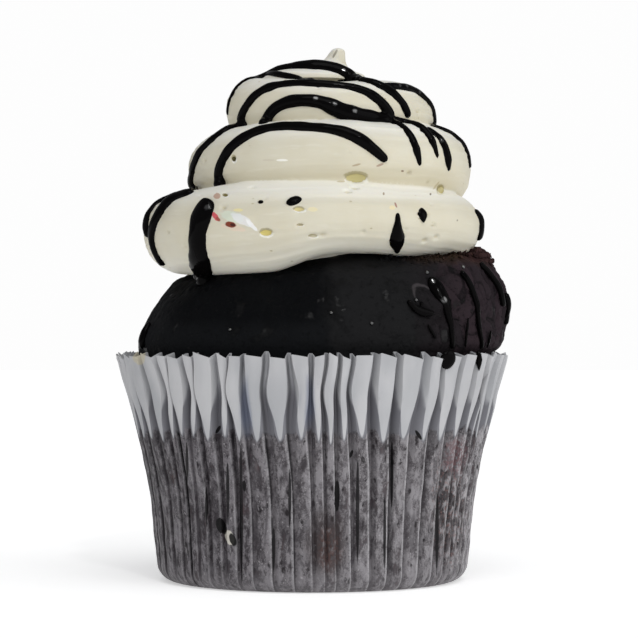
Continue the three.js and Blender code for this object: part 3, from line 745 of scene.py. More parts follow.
# Painted shade in the splits between the crust's plates.
split_shade = crust.step(crust.painted("split"), 0.3, 0.95) * crust.step(grains, 0.35, 0.55, 0.3, 0.75)
colour = crust.mix(colour, tone(6, 6, 7), split_shade)
near_top = crust.step(z + (stains - 0.5) * 3, 50.6, 52.6)
colour = crust.mix(colour, tone(50, 37, 25), crust.step(x, 12, 19) * near_top * 0.8)
colour = crust.mix(colour, tone(60, 41, 43), crust.step(x, 22, 26) * near_top * 0.75)
colour = crust.mix(colour, tone(6, 6, 7), crust.step(stains, 0.56, 0.68) * 0.7)
colour = crust.mix(colour, tone(4, 4, 5), crust.step(grains, 0.46, 0.3) * 0.6)
pale_grain = crust.step(grains, 0.64, 0.78) * (0.12 + thin_side * 0.4)
colour = crust.mix(colour, tone(84, 76, 78), pale_grain)
torn_crumb = crust.step(grains, 0.56, 0.7) * near_top * crust.step(x, 12, 22)
colour = crust.mix(colour, tone(106, 78, 72), torn_crumb * 0.5)


def leaf_at(across_mm, up_mm):
    """The torn flap's outline, a slanted ellipse on the front."""
    side, rise = x - across_mm, z - up_mm
    along = (side * 0.73 - rise * 0.68) / 2.9
    over = (side * 0.68 + rise * 0.73) / 1.5
    return 1 - crust.step(along * along + over * over + (stains - 0.5) * 0.8, 0.8, 1.1)


# Painted highlight along the torn flap's upper left edge.
flap_highlight = leaf_at(17.7, 45.6) * (1 - leaf_at(18.1, 45.1)) * crust.step(y, 0, -4)
colour = crust.mix(colour, tone(72, 68, 70), flap_highlight * 0.7)
crust.set(Base_Color=colour, Roughness=0.8, Specular_IOR_Level=0.045)
crust.set(Coat_Weight=crust.step(stains, 0.6, 0.72) * 0.25, Coat_Roughness=0.22)
relief = grains * 0.7 + crust.step(specks, 0.0, 0.5) * 0.5
crust.set(Normal=crust.bump(relief, 0.18, 0.7))
cake.data.materials.clear()
cake.data.materials.append(crust.material)
print("crumb finish:", len(crust.tree.nodes), "nodes")

# %% [markdown]
# ## The swirl
#
# The buttercream was piped from one wide round nozzle in a single rope, laid clockwise from
# the right. Each coil lies nearly level across the front and climbs at the back. A Screw
# modifier would make every turn alike, and real coils change in reach, height and girth all
# the way. So the rope is a sheet of squares first, rolled up and coiled by one rule that
# reads a short table of stations.

# %% The rope's stations: turns from the right-hand side, then millimetres
ROPE = {
    "turn": [-0.2, 0.0, 0.23, 0.3, 0.5, 0.75, 1.0, 1.25, 1.5, 1.75, 2.0, 2.25, 2.5, 2.75, 3.0, 3.3],
    "reach": [19.6, 21.2, 21.0, 21.0, 20.9, 20.6, 19.9, 17.4, 14.3, 14.6, 14.7, 11.8, 9.0, 6.4, 3.4, 1.4],
    "z": [56.6, 57.4, 58.0, 56.6, 56.6, 59.8, 67.2, 67.4, 67.0, 70.6, 75.2, 75.4, 76.4, 78.2, 78.6, 80.4],
    "wide": [5.2, 6.5, 6.4, 6.5, 6.5, 6.4, 6.0, 5.9, 5.9, 5.6, 5.3, 5.2, 5.1, 4.9, 4.3, 4.0],
    "tall": [4.2, 5.7, 5.7, 7.0, 6.6, 6.4, 6.0, 5.9, 6.2, 5.9, 5.4, 5.2, 5.8, 4.9, 4.0, 3.4],
}
ROPE = {name: np.array(values) for name, values in ROPE.items()}
FILLING = [(17.5, 48.5, 0.0), (18.0, 58.0, 0.0), (13.0, 66.0, 2.6), (8.2, 75.5, 3.0), (3.2, 81.5, 3.4)]
CAP = [(9.2, 81.0, 0.0), (8.4, 82.4, 0.0), (6.6, 83.2, 0.3), (4.6, 83.9, 1.4), (2.8, 84.5, 2.8)]
PEAK = CAP + [(1.8, 85.4, 3.7), (1.35, 86.5, 4.1), (1.1, 87.0, 4.25), (0.6, 87.25, 4.3)]


def rope_at(name, turn):
    """One of the rope's measures at any turn, by a cubic through its stations."""
    knots, values = ROPE["turn"], ROPE[name]
    last = len(knots) - 1
    start = np.clip(np.searchsorted(knots, turn, side="right") - 1, 0, last - 1)
    span = knots[start + 1] - knots[start]
    u = (turn - knots[start]) / span
    ahead, behind = np.minimum(start + 2, last), np.maximum(start - 1, 0)
    leave = (values[start + 1] - values[behind]) / (knots[start + 1] - knots[behind])
    arrive = (values[ahead] - values[start]) / (knots[ahead] - knots[start])
    rise = values[start + 1] - values[start]
    bend = u * (1 - u) * ((1 - u) * leave - u * arrive) * span
    return values[start] + rise * u * u * (3 - 2 * u) + bend


def drift_at(turn):
    """How far to the right the last coil's axis has wandered."""
    return 3.0 * ease(turn, 2.5, 3.2)


print("rope girth at the start and the end:", rope_at("wide", 0.0), rope_at("wide", 3.2))

# %% Roll the sheet into a rope and coil it
AROUND, ALONG = 56, 460
start_fresh()
bpy.ops.mesh.primitive_grid_add(x_subdivisions=AROUND, y_subdivisions=ALONG, size=1)
swirl = bpy.context.active_object
swirl.name = "buttercream_swirl"
swirl.data.name = "buttercream_swirl"
sheet = points_of(swirl) * MM + 0.5
around = sheet[:, 0] * TAU
turn = ROPE["turn"][0] + sheet[:, 1] * (ROPE["turn"][-1] - ROPE["turn"][0])
out = rope_at("reach", turn) + rope_at("wide", turn) * np.cos(around)
up = rope_at("z", turn) + rope_at("tall", turn) * np.sin(around)
coiled = np.stack([out * np.cos(-TAU * turn) + drift_at(turn), out * np.sin(-TAU * turn), up], axis=1)
move_points(swirl, coiled)
pick(swirl)
bpy.ops.object.mode_set(mode="EDIT")
bpy.ops.mesh.select_all(action="SELECT")
bpy.ops.mesh.remove_doubles(threshold=0.00001)
bpy.ops.mesh.select_all(action="DESELECT")
bpy.ops.mesh.select_mode(type="EDGE")
bpy.ops.mesh.select_non_manifold()
bpy.ops.mesh.fill_holes(sides=0)
bpy.ops.mesh.select_mode(type="VERT")
bpy.ops.object.mode_set(mode="OBJECT")
face_outwards(swirl)
print("rope:", len(swirl.data.vertices), "points")

# %% [markdown]
# The coils leave a hollow down the middle, and the last one was pulled up into a peak as
# the nozzle came away. Both are raised walls, closed at both ends and slid to the right
# by the same drift. Joining them with the rope and remeshing at 0.35 mm melts everything
# into one skin of even squares. Rounds of smoothing then soften the creases.

# %% Fill the middle, pull the peak and melt them together


def raise_stack(name, rows):
    stack = raise_wall(name, 48, [(radius, height) for radius, height, _ in rows], close_top=True)
    pick(stack)
    bpy.ops.object.mode_set(mode="EDIT")
    bpy.ops.mesh.select_all(action="DESELECT")
    bpy.ops.mesh.select_non_manifold()
    bpy.ops.mesh.fill_holes(sides=0)
    bpy.ops.object.mode_set(mode="OBJECT")
    places = points_of(stack)
    heights = [row[1] for row in rows]
    places[:, 0] += np.interp(places[:, 2], heights, [row[2] for row in rows])
    move_points(stack, places)
    face_outwards(stack)
    return stack


filling = raise_stack("filling", FILLING)
peak = raise_stack("peak", PEAK)
start_fresh()
for part in (filling, peak, swirl):
    part.select_set(True)
bpy.context.view_layer.objects.active = swirl
bpy.ops.object.join()
apply_modifier(swirl, "REMESH", mode="VOXEL", voxel_size=0.35 * MM)
apply_modifier(swirl, "SMOOTH", factor=0.5, iterations=8)
print("melted swirl:", triangles(swirl), "triangles")

# %% [markdown]
# Piped buttercream is never quite smooth. The nozzle draws faint lines along the rope, the
# hand makes slow swells, and trapped air leaves little pockets. To draw lines along the
# rope, each point of the melted skin is matched again with the coil that it belongs to.

# %% Match the skin with the coils


def nearest_coil(places):
    """The turn, the angle round the rope and the distance from its core, for each point."""
    best = np.full(len(places), 9.0)
    best_turn = np.zeros(len(places))
    best_around = np.zeros(len(places))
    for lap in range(-1, 4):
        lap_turn = np.zeros(len(places))
        for _ in range(2):
            slide = drift_at(lap_turn)
            lap_turn = (-np.arctan2(places[:, 1], places[:, 0] - slide) / TAU) % 1 + lap
        inside = (lap_turn >= -0.2) & (lap_turn <= 3.3)
        safe = np.clip(lap_turn, -0.2, 3.3)
        out = np.hypot(places[:, 0] - drift_at(safe), places[:, 1])
        side = (out - rope_at("reach", safe)) / rope_at("wide", safe)
        rise = (places[:, 2] - rope_at("z", safe)) / rope_at("tall", safe)
        away = np.where(inside, np.hypot(side, rise), 9.0)
        closer = away < best
        best = np.where(closer, away, best)
        best_turn = np.where(closer, safe, best_turn)
        best_around = np.where(closer, np.arctan2(rise, side), best_around)
    return best_turn, best_around, best


skin = points_of(swirl)
facing = np.empty(len(skin) * 3)
swirl.data.vertices.foreach_get("normal", facing)
facing = facing.reshape(-1, 3)
coil_turn, coil_around, coil_away = nearest_coil(skin)
# Numbers for painted light and shade: shade under the upper coils, light under the lowest one, light on tops
# that face up.
under = ease(-np.sin(coil_around), -0.1, 0.95) * ease(coil_turn, 0.55, 1.0)
lit_underside = ease(-np.sin(coil_around), 0.35, 1.0) * (1 - ease(coil_turn, 0.55, 1.0))
lit_top = ease(facing[:, 2], 0.35, 0.9)
print("coils found:", round(float(coil_turn.min()), 2), "to", round(float(coil_turn.max()), 2))

# %% [markdown]
# Small things on the front are placed as they are seen: in millimetres across and up an
# upright sheet through the middle of the cake, then along the sight line from the lens to
# the surface. A pocket where an air bubble burst is a dent here, and its yellow floor, a
# painted shade, comes with the finish. One table serves both.

# %% Swells, nozzle lines and air pockets
# Across, up, width and height on the sheet, then the floor's painted shade.
POCKETS = [
    (-7.6, 56.75, 1.15, 0.66, (214, 199, 122)),
    (-2.15, 60.6, 1.0, 0.46, (214, 201, 146)),
    (7.2, 65.75, 2.0, 0.95, (201, 191, 138)),
    (21.1, 63.8, 0.6, 0.75, (212, 202, 152)),
    (-2.0, 58.0, 0.6, 0.24, (198, 188, 158)),
    (0.1, 56.2, 0.75, 0.3, (204, 197, 170)),
    (-12.9, 68.9, 0.4, 0.6, (78, 72, 36)),
    (-14.3, 62.9, 0.45, 0.3, (128, 118, 70)),
]


def seen_on_sheet(places):
    nearer = EYE_AWAY / (EYE_AWAY + places[:, 1])
    across = EYE_ACROSS + (places[:, 0] - EYE_ACROSS) * nearer
    return across, EYE_UP + (places[:, 2] - EYE_UP) * nearer


swell = np.array([noise.noise(Vector(p) / 11.0) for p in skin]) * 0.5
swell += np.array([noise.noise(Vector(p) / 4.5 + Vector((5, 2, 8))) for p in skin]) * 0.16
line_places = np.stack([np.cos(coil_around) * 3.2, np.sin(coil_around) * 3.2, coil_turn * 2.2], axis=1)
lines = np.array([noise.noise(Vector(p) * 1.6) for p in line_places]) * 0.12
lines += np.array([noise.noise(Vector(p) * 4.2) for p in line_places]) * 0.08
push = (swell + lines) * ease(skin[:, 2], 49, 52)

across, up = seen_on_sheet(skin)
air = np.zeros(len(skin))
for seen_across, seen_up, wide, tall, _ in POCKETS:
    away = np.hypot((across - seen_across) / wide, (up - seen_up) / tall)
    air = np.maximum(air, (1 - ease(away, 0.4, 1.2)) * (facing[:, 1] < -0.1))
smear = np.hypot((across + 12.3) / 3.0, (up - 58.8) / 1.4)
push += 0.28 * (1 - ease(smear, 0.5, 1.1)) * (facing[:, 1] < -0.1)

dice = random.Random(5)
outer = np.flatnonzero((np.abs(coil_away - 1) < 0.12) & (skin[:, 2] > 52))
for _ in range(90):
    centre = skin[outer[dice.randrange(len(outer))]]
    size = dice.uniform(0.3, 0.75)
    away = np.linalg.norm((skin - centre) * (1, 1, 1.8), axis=1)
    air = np.maximum(air, (1 - ease(away / size, 0.3, 1.2)) * min(1, size * 1.3))
push -= air * 0.42
move_points(swirl, skin + facing * push[:, None])
paint_points(swirl, "under", under)
paint_points(swirl, "lit_underside", lit_underside)
paint_points(swirl, "lit_top", lit_top)
paint_points(swirl, "pocket", air)
pick(swirl)
bpy.ops.object.shade_smooth()
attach(swirl, "root")
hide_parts("frosting")
print("pockets cover", int((air > 0.5).sum()), "points of", triangles(swirl), "triangles")

# %% [markdown]
# ## Buttercream
#
# Butter and sugar scatter light below the surface, which is why the shaded undersides look
# warm and a little yellow and never grey. Subsurface weight is the same everywhere, so
# it goes straight on its socket. The painted numbers paint warm shade on the undersides of
# the upper coils, paint light under the lowest one to keep it pale, paint light on the
# tops and paint darker yellow shade into the air pockets.

# %% Buttercream tones
cream = Finish("buttercream")
mottle = cream.cloud(6, detail=3)
drawn_out = cream.cloud(1.5, detail=3, rough=0.6, stretch=(0.22, 0.22, 1.5))
fine = cream.cloud(0.6, detail=3, rough=0.65, stretch=(0.6, 0.6, 1))
bubbles = cream.cells(1.7, stretch=(0.7, 0.7, 1.6))
colour = cream.mix(tone(219, 215, 198), tone(210, 203, 180), mottle)
# Painted shade: warm and darker on the undersides of the upper coils.
colour = cream.mix(colour, tone(205, 196, 168), cream.painted("under") * 0.8)
# Painted light: keeps the lowest coil's underside pale.
colour = cream.mix(colour, tone(240, 237, 223), cream.painted("lit_underside") * 0.8)
# Painted light on the tops that face up.
colour = cream.mix(colour, tone(247, 246, 239), cream.painted("lit_top") * 0.75)
colour = cream.mix(colour, tone(206, 197, 172), cream.step(drawn_out, 0.55, 0.78) * 0.22)
colour = cream.mix(colour, tone(241, 239, 229), cream.step(drawn_out, 0.42, 0.22) * 0.22)
# Painted shade in the pinholes left by tiny bubbles.
pin = cream.step(bubbles, 0.13, 0.05) * cream.step(mottle, 0.52, 0.6)
colour = cream.mix(colour, tone(180, 168, 132), pin * 0.75)
# Painted shade: the dents of the air pockets darker and yellower.
colour = cream.mix(colour, tone(200, 188, 146), cream.step(cream.painted("pocket"), 0.35, 0.95) * 0.55)
print("buttercream tones mixed")

# %% [markdown]
# A mark is an ellipse on the sheet with a ragged outline. A pocket takes three: a painted
# shaded lip above, a painted lit lip below and the floor over both, in painted darker yellow
# shade. The smear near the left is a dab of icing with a little green and lilac in it and two
# flecks of red sugar on it. The other marks are small darker and paler lines and dots.

# %% Marks on the front of the swirl
here = cream.node("ShaderNodeTexCoord", out="Object")
x = cream.node("ShaderNodeSeparateXYZ", None, {0: here}, out="X") / MM
y = cream.node("ShaderNodeSeparateXYZ", None, {0: here}, out="Y") / MM
z = cream.node("ShaderNodeSeparateXYZ", None, {0: here}, out="Z") / MM
nearer = EYE_AWAY / (y + EYE_AWAY)
sheet_across = (x - EYE_ACROSS) * nearer + EYE_ACROSS
sheet_up = (z - EYE_UP) * nearer + EYE_UP
front = cream.step(y, 1, -3)
ragged = cream.cloud(0.7, detail=3, rough=0.65) - 0.5


def mark(seen_across, seen_up, wide, tall, slant=0.0, edge=(0.7, 1.15)):
    side = sheet_across - seen_across
    rise = sheet_up - seen_up
    along = (side * math.cos(slant) + rise * math.sin(slant)) / wide
    over = (rise * math.cos(slant) - side * math.sin(slant)) / tall
    reach = along * along + over * over + ragged * 1.3
    return (1 - cream.step(reach, *edge)) * front


# The smear's marks, then small darker and paler lines and dots.
cream_marks = [
    ((-13.0, 57.6, 2.2, 0.5, -0.2), (232, 208, 188), 0.5),
    ((-13.2, 59.4, 1.9, 0.9, -0.25), (218, 230, 212), 0.6),
    ((-11.6, 58.9, 2.0, 0.75, -0.5), (234, 234, 238), 0.7),
    ((-10.0, 58.0, 1.4, 0.35, -0.8), (244, 244, 244), 0.85),
    ((-12.2, 60.5, 0.8, 0.28, 0.0), (236, 224, 160), 0.7),
    ((-15.9, 59.4, 0.95, 0.42, -0.9), (208, 84, 94), 0.95),
    ((-15.5, 59.0, 0.5, 0.28, -0.9), (150, 84, 66), 0.8),
    ((-13.45, 58.1, 0.95, 0.5, -0.15), (126, 44, 14), 0.97),
    ((-13.1, 58.05, 0.45, 0.28, -0.15), (62, 18, 10), 0.9),
    ((-15.7, 62.8, 0.6, 0.5, 0.3), (186, 146, 126), 0.8),
    ((0.0, 60.6, 0.9, 0.4, 0.0), (230, 220, 178), 0.7),
    ((-7.2, 68.7, 1.1, 0.17, 0.0), (206, 199, 180), 0.8),
    ((-5.0, 68.7, 1.0, 0.2, 0.0), (248, 247, 241), 0.8),
    ((7.2, 67.9, 0.8, 0.17, 0.25), (168, 148, 118), 0.7),
    ((11.1, 67.9, 0.65, 0.2, 0.35), (158, 130, 112), 0.75),
    ((14.8, 66.9, 0.24, 0.17, 0.0), (120, 92, 74), 0.8),
    ((4.7, 65.2, 0.7, 0.16, 0.0), (188, 174, 140), 0.7),
    ((11.7, 63.2, 0.16, 0.26, 0.0), (150, 130, 102), 0.8),
    ((19.4, 63.1, 0.17, 0.2, 0.0), (92, 80, 52), 0.8),
    ((20.3, 64.5, 0.9, 0.16, 0.9), (176, 160, 122), 0.6),
    ((13.7, 61.3, 0.16, 0.5, 0.4), (150, 92, 84), 0.75),
    ((13.1, 60.9, 0.5, 0.35, 0.0), (236, 218, 168), 0.6),
    ((23.8, 58.8, 0.13, 0.16, 0.0), (140, 132, 118), 0.8),
    ((3.7, 86.2, 0.8, 0.2, 1.06), (76, 70, 54), 0.9),
]
hollows = cream.painted("pocket") * 0.3
for place, paint, amount in cream_marks:
    colour = cream.mix(colour, tone(*paint), mark(*place) * amount)
# Painted shadow on the upper lip, painted highlight on the lower lip, painted shade on the floor.
for seen_across, seen_up, wide, tall, paint in POCKETS:
    shaded_lip = mark(seen_across - 0.08, seen_up + tall * 0.34, wide * 1.02, tall * 0.9)
    lit_lip = mark(seen_across + 0.1, seen_up - tall * 0.42, wide * 1.04, tall * 0.85)
    pocket_floor = mark(seen_across, seen_up, wide * 0.86, tall * 0.72)
    colour = cream.mix(colour, tone(152, 140, 96), shaded_lip * 0.65)
    colour = cream.mix(colour, tone(246, 245, 238), lit_lip * 0.7)
    colour = cream.mix(colour, tone(*paint), pocket_floor)
    hollows = hollows + pocket_floor
print(len(cream_marks), "marks and", len(POCKETS), "pockets painted")

# %% Buttercream finish
cream.set(Base_Color=colour, Roughness=0.46, Specular_IOR_Level=0.22)
cream.set(Subsurface_Weight=0.1, Subsurface_Radius=(0.9, 0.7, 0.4), Subsurface_Scale=0.0009)
relief = drawn_out * 0.6 + fine * 0.35 - pin * 0.9 - hollows * 2
cream.set(Normal=cream.bump(relief, 0.11, 0.6))
swirl.data.materials.clear()
swirl.data.materials.append(cream.material)
print("buttercream finish:", len(cream.tree.nodes), "nodes")

# %% [markdown]
# ## Chocolate syrup
#
# Syrup was drizzled to and fro over the top in thin strands, and then crept: it follows the
# coils, thickens where strands meet, hangs in drops at its ends and bridges small hollows.
# A strand is easiest to place as it is seen, so each is drawn on an upright sheet through
# the middle of the cake and carried along the sight lines of an onlooker, in front, behind
# or at one side, until it lands. From there on it belongs to the surface: every point is
# snapped to the nearest place on it. An onlooker is the way to them and the way that the
# sheet runs across. The widths of a strand are spread evenly along it.

# %% The strands on the swirl: widths, then places across and up, in millimetres
FRONT, BACK = ((0, -1), (1, 0)), ((0, 1), (1, 0))
LEFT, RIGHT = ((-1, 0), (0, 1)), ((1, 0), (0, 1))
HAT = [(-13.9, 76), (-13.5, 78.5), (-12.5, 80.4), (-10.7, 82), (-7.8, 83.1), (-3.7, 83.85)]
HAT += [(0.4, 84.05), (3.7, 83.65), (5.7, 82.75), (7.8, 81.8)]
BRIM = [(-11.9, 74.8), (-11.1, 77.2), (-9.8, 78.9), (-7.8, 80.4), (-5.3, 81.1), (-1.6, 81.3), (2.5, 81.1)]
BRIM += [(6.2, 80.7), (8.6, 80.1), (10.7, 78.8), (12.3, 77.1), (13.2, 75.6)]
ARCH = [(-8.2, 74.6), (-7.2, 76.4), (-5.7, 77.7), (-3.7, 78.45), (-1.2, 78.65), (1.2, 78.35), (3.3, 77.6)]
ARCH += [(4.9, 76.6), (7, 76.1), (9.4, 75.7), (12.7, 75.1)]
SHOULDER = [(11.3, 80.9), (12.6, 80.8), (14.3, 80.7), (16.4, 80.3), (18, 79.2), (19.5, 77.4), (20.1, 75.2)]
SHOULDER += [(21.7, 74.1)]
SHOULDER += [(23.4, 73.2), (24.4, 71.5), (25.2, 70.3), (25.8, 67.4)]
LONG_BOW = [(-15.4, 64.5), (-15.5, 66.6), (-14.6, 69.1), (-12.3, 71.7), (-8.6, 73.6), (-4.5, 74.2), (0.4, 74)]
LONG_BOW += [(4.5, 73.5), (7.4, 72.4), (9.6, 70.9), (12.3, 68.5)]
LEFT_RUN = [(-19.7, 63.3), (-21.4, 62.9), (-23.8, 61.5), (-25.7, 58.6), (-26.4, 56.4), (-25.8, 53.9)]
LEFT_RUN += [(-24.4, 51.5)]
LEFT_EDGE = [(-19.6, 64.0), (-23.0, 63.6), (-25.4, 62.4), (-26.8, 60.3), (-27.2, 58.0), (-26.9, 56.2)]
BROAD_RUN = [(-17.0, 62.3), (-18.2, 59.6), (-18.9, 57.2), (-19.0, 55.1), (-18.6, 53.1), (-18.3, 50.6)]
BROAD_RUN += [(-17.9, 49.4), (-17.6, 48.4)]
TO_SHOULDER = [(7.8, 81.8), (10.2, 81.2), (12.3, 80.4), (13.9, 79.1), (15.2, 77.5), (15.8, 75.6)]
LEFT_LINK = [(-10.7, 74.5), (-13.5, 73.8), (-16, 72.3), (-18.4, 70), (-19.6, 67), (-19.9, 64.2)]
PULLED_RUN = [(14, 60.2), (13.9, 58.4), (13.8, 56.4), (13.9, 54.8), (13.9, 53.5)]
BACK_BOW = [(-16, 70.5), (-11, 73.4), (-5, 73.2), (1, 72.8), (7, 71.2), (12, 72), (17, 74.4)]
BACK_BELT = [(-19.4, 66.5), (-15, 69.4), (-9, 68), (-3, 67.6), (3, 66.4), (9, 68), (13, 66)]
SWIRL_STRANDS = [
    (FRONT, [0.5, 0.6, 0.7, 0.9, 1.6, 2.2, 2.3, 2.1, 1.5], HAT),
    (FRONT, [0.5, 0.6, 0.9, 0.6], [(-9.8, 82.1), (-6.6, 82.9), (-4.1, 82.5), (-2.1, 82), (0.4, 81.7)]),
    (FRONT, [1.3, 1.3, 1.2, 1.2, 1.2, 1.3, 1.4], BRIM),
    (FRONT, [1.2, 1.5, 1.6, 1.7, 2.1, 2.3, 2.2, 1.9], ARCH),
    (FRONT, [1.4, 1.2, 1.1], TO_SHOULDER),
    (FRONT, [1.0, 1.1, 1.2, 1.0, 0.8, 0.9, 0.9, 0.9, 0.5], SHOULDER),
    (FRONT, [1.3, 1.2, 1.3], LEFT_LINK),
    (FRONT, [1.4, 1.5, 1.5, 1.5, 1.5, 1.5, 1.7, 1.7, 1.0], LONG_BOW),
    (FRONT, [0.9, 0.9, 1.1, 1.1, 0.3], [(12.7, 75.3), (15.2, 73.8), (16.8, 71.1), (17.7, 67.6)]),
    (FRONT, [1.0, 1.0, 1.1, 1.1, 0.3], [(13.1, 75.4), (15.2, 75), (17.6, 74.2), (19.3, 72.4), (20.6, 68.9)]),
    (FRONT, [0.8, 1.0, 1.2, 1.2, 0.3], [(18.4, 74), (20.7, 72.6), (21.8, 70.5), (22.4, 66.8)]),
    (FRONT, [1.2, 0.9, 0.9, 1.1, 1.6], LEFT_EDGE),
    (FRONT, [1.4, 1.6, 1.9, 2.4, 2.2, 1.6, 1.2, 1.7], LEFT_RUN),
    (FRONT, [3.2, 3.6, 3.4, 3.2, 3.3, 3.4, 3.0, 2.0], BROAD_RUN),
    (FRONT, [0.4, 0.7, 1.4, 2.5, 2.0, 0.9, 0.5], PULLED_RUN),
    (FRONT, [0.6, 1.4, 1.7, 1.2], [(26.6, 60.6), (27.5, 58.9), (27.9, 57.2), (27.6, 55.5)]),
    (BACK, [1.7, 1.6, 1.8], [(-11, 78), (-7, 81.4), (-2, 82.6), (3, 82.2), (8, 80.6), (11.5, 77)]),
    (BACK, [1.4, 1.6, 1.4], [(-9.5, 74), (-6, 77.2), (-1, 78), (4, 76.6), (9, 75.4), (14, 75.6)]),
    (BACK, [1.3, 1.5, 1.4], BACK_BOW),
    (BACK, [1.3, 1.2, 1.4], BACK_BELT),
    (BACK, [1.3, 1.2, 1.4, 2.1], [(14, 69), (17.5, 68.6), (20.4, 65.6), (20.4, 61), (19.8, 58)]),
    (BACK, [1.3, 1.2, 1.4, 2.0], [(-17, 63.4), (-20, 60.6), (-20.6, 57), (-19.8, 54.2)]),
    (BACK, [1.2, 1.4, 2.5], [(-6, 63.6), (-6.8, 60.6), (-6.4, 57.2)]),
    (BACK, [1.0, 1.1, 2.1], [(5, 66.6), (5.8, 63), (5.2, 59.8)]),
    (LEFT, [1.0, 1.1, 1.3, 0.4], [(7.2, 75.2), (8.6, 73.8), (9.4, 71.2), (9.0, 68.0)]),
    (LEFT, [1.2, 1.4, 1.8, 0.5], [(9.0, 64.6), (10.4, 63.2), (11.2, 60.0), (10.6, 56.0)]),
    (RIGHT, [0.9, 1.1, 1.2, 0.4], [(5.6, 80.6), (7.4, 79.8), (8.8, 78.0), (9.0, 75.8)]),
    (RIGHT, [0.5, 1.2, 1.3, 1.3], [(2.4, 75.2), (5, 74.6), (9, 72.9), (12.8, 70.4)]),
    (RIGHT, [1.0, 1.4, 1.6, 1.5, 0.4], [(9, 62.2), (12.6, 60.8), (14.8, 58), (15.4, 55.4), (15, 53.2)]),
]
print(len(SWIRL_STRANDS), "strands on the swirl")

# %% The strands on the cake, two of which run to the paper rim
BIG_ARC = [(19.1, 49.4), (19.9, 48.2), (21.0, 46.75), (21.6, 45.3), (22.1, 43.4), (22.5, 41.5)]
BIG_ARC += [(22.7, 39.4), (22.7, 37.8)]
LONG_RUN = [(24.2, 50.5), (25.1, 49.1), (26.0, 47.3), (26.5, 45.3), (26.9, 43.1), (27.3, 40.9)]
LONG_RUN += [(27.5, 38.9), (27.4, 37.8)]
CAKE_STRANDS = [
    (FRONT, [0.9, 1.9, 1.9, 1.5, 0.9, 0.5, 0.4, 0.6], BIG_ARC),
    (FRONT, [0.5, 0.6, 0.6, 0.45, 0.35, 0.4], LONG_RUN),
    (FRONT, [0.5, 0.7, 0.5], [(27.3, 51.6), (28.6, 50.4), (30.0, 48.8), (30.7, 46.75), (31.1, 44.7)]),
    (FRONT, [0.6, 1.2, 1.3, 0.6], [(31.4, 46.9), (31.8, 44.8), (31.7, 42.9), (31.4, 41.7)]),
    (FRONT, [0.3, 0.9, 1.0, 0.3], [(15.4, 45.6), (16.1, 44.4), (17.3, 43.5), (18.9, 43.2), (19.9, 43.7)]),
    (FRONT, [0.05, 0.15, 0.05], [(25.3, 43.1), (25.0, 40.6), (24.8, 37.9)]),
    (FRONT, [0.05, 0.15, 0.05], [(29.1, 41.0), (28.7, 39.2), (28.3, 37.9)]),
    (FRONT, [0.05, 0.2, 0.05], [(18.6, 41.9), (19.4, 40.4), (20.1, 39.1)]),
    (FRONT, [0.3, 0.8, 1.1, 1.1], [(-26.4, 42.0), (-27.2, 40.6), (-27.6, 39.2), (-27.7, 37.7)]),
    (BACK, [1.6, 1.9, 2.1], [(-14, 48.6), (-15.4, 45.4), (-15.6, 41)]),
    (BACK, [1.3, 1.7, 2.0], [(9, 50), (10.4, 46.4), (10.6, 42)]),
    (BACK, [1.2, 1.5, 1.7], [(21, 51.4), (23.6, 47.8), (24, 43.8)]),
]
print(len(CAKE_STRANDS), "strands on the cake")

# %% [markdown]
# `land` casts the sight line. Past the outline there is nothing to hit, so the line is drawn
# in towards the middle until there is. `lay` runs a smooth curve through the drawn points,
# lands it, walks along the landed curve in even steps, snaps each step to the surface and
# eases the row of steps so that the strand spans creases instead of diving into them.


# %% Landing a strand on a surface
def surface_of(*pieces):
    """The pieces' skins in millimetres as one, ready for casting and snapping."""
    corners, faces = [], []
    for piece in pieces:
        first = len(corners)
        corners += [tuple(p) for p in points_of(piece)]
        faces += [tuple(first + i for i in face.vertices) for face in piece.data.polygons]
    return BVHTree.FromPolygons(corners, faces)


def even_steps(places, step):
    gaps = np.linalg.norm(np.diff(places, axis=0), axis=1)
    walked = np.concatenate([[0], np.cumsum(gaps)])
    wanted = np.linspace(0, walked[-1], max(3, int(walked[-1] / step) + 1))
    return np.stack([np.interp(wanted, walked, places[:, k]) for k in range(3)], axis=1)


def curve_through(knots, step):
    """Even steps along a Catmull-Rom curve through any list of points."""
    knots = np.array(knots, dtype=float)
    padded = np.vstack([2 * knots[0] - knots[1], knots, 2 * knots[-1] - knots[-2]])
    dense = []
    for i in range(len(knots) - 1):
        a, b, c, d = padded[i : i + 4]
        for u in np.linspace(0, 1, 24, endpoint=False):
            bend = (2 * a - 5 * b + 4 * c - d) * u * u + (3 * b - a - 3 * c + d) * u**3
            dense.append(0.5 * (2 * b + (c - a) * u + bend))
    return even_steps(np.array(dense + [knots[-1]]), step)


def land(surface, side, across_mm, up_mm):
    out, along = Vector(side[0] + (0,)), Vector(side[1] + (0,))
    start = along * EYE_ACROSS + out * EYE_AWAY + Vector((0, 0, EYE_UP))
    for share in np.arange(1.0, 0.5, -0.004):
        aim = along * (across_mm * share) + Vector((0, 0, up_mm)) - start
        hit = surface.ray_cast(start, aim.normalized())[0]
        if hit:
            return hit
    return None


def relax(rows, rounds, tether=0.0):
    """Evens out a row of places, keeping its ends."""
    rows = rows.copy()
    first = rows.copy()
    for _ in range(rounds):
        rows[1:-1] = (rows[:-2] + rows[1:-1] * 2 + rows[2:]) / 4
        rows = rows * (1 - tether) + first * tether
    return rows


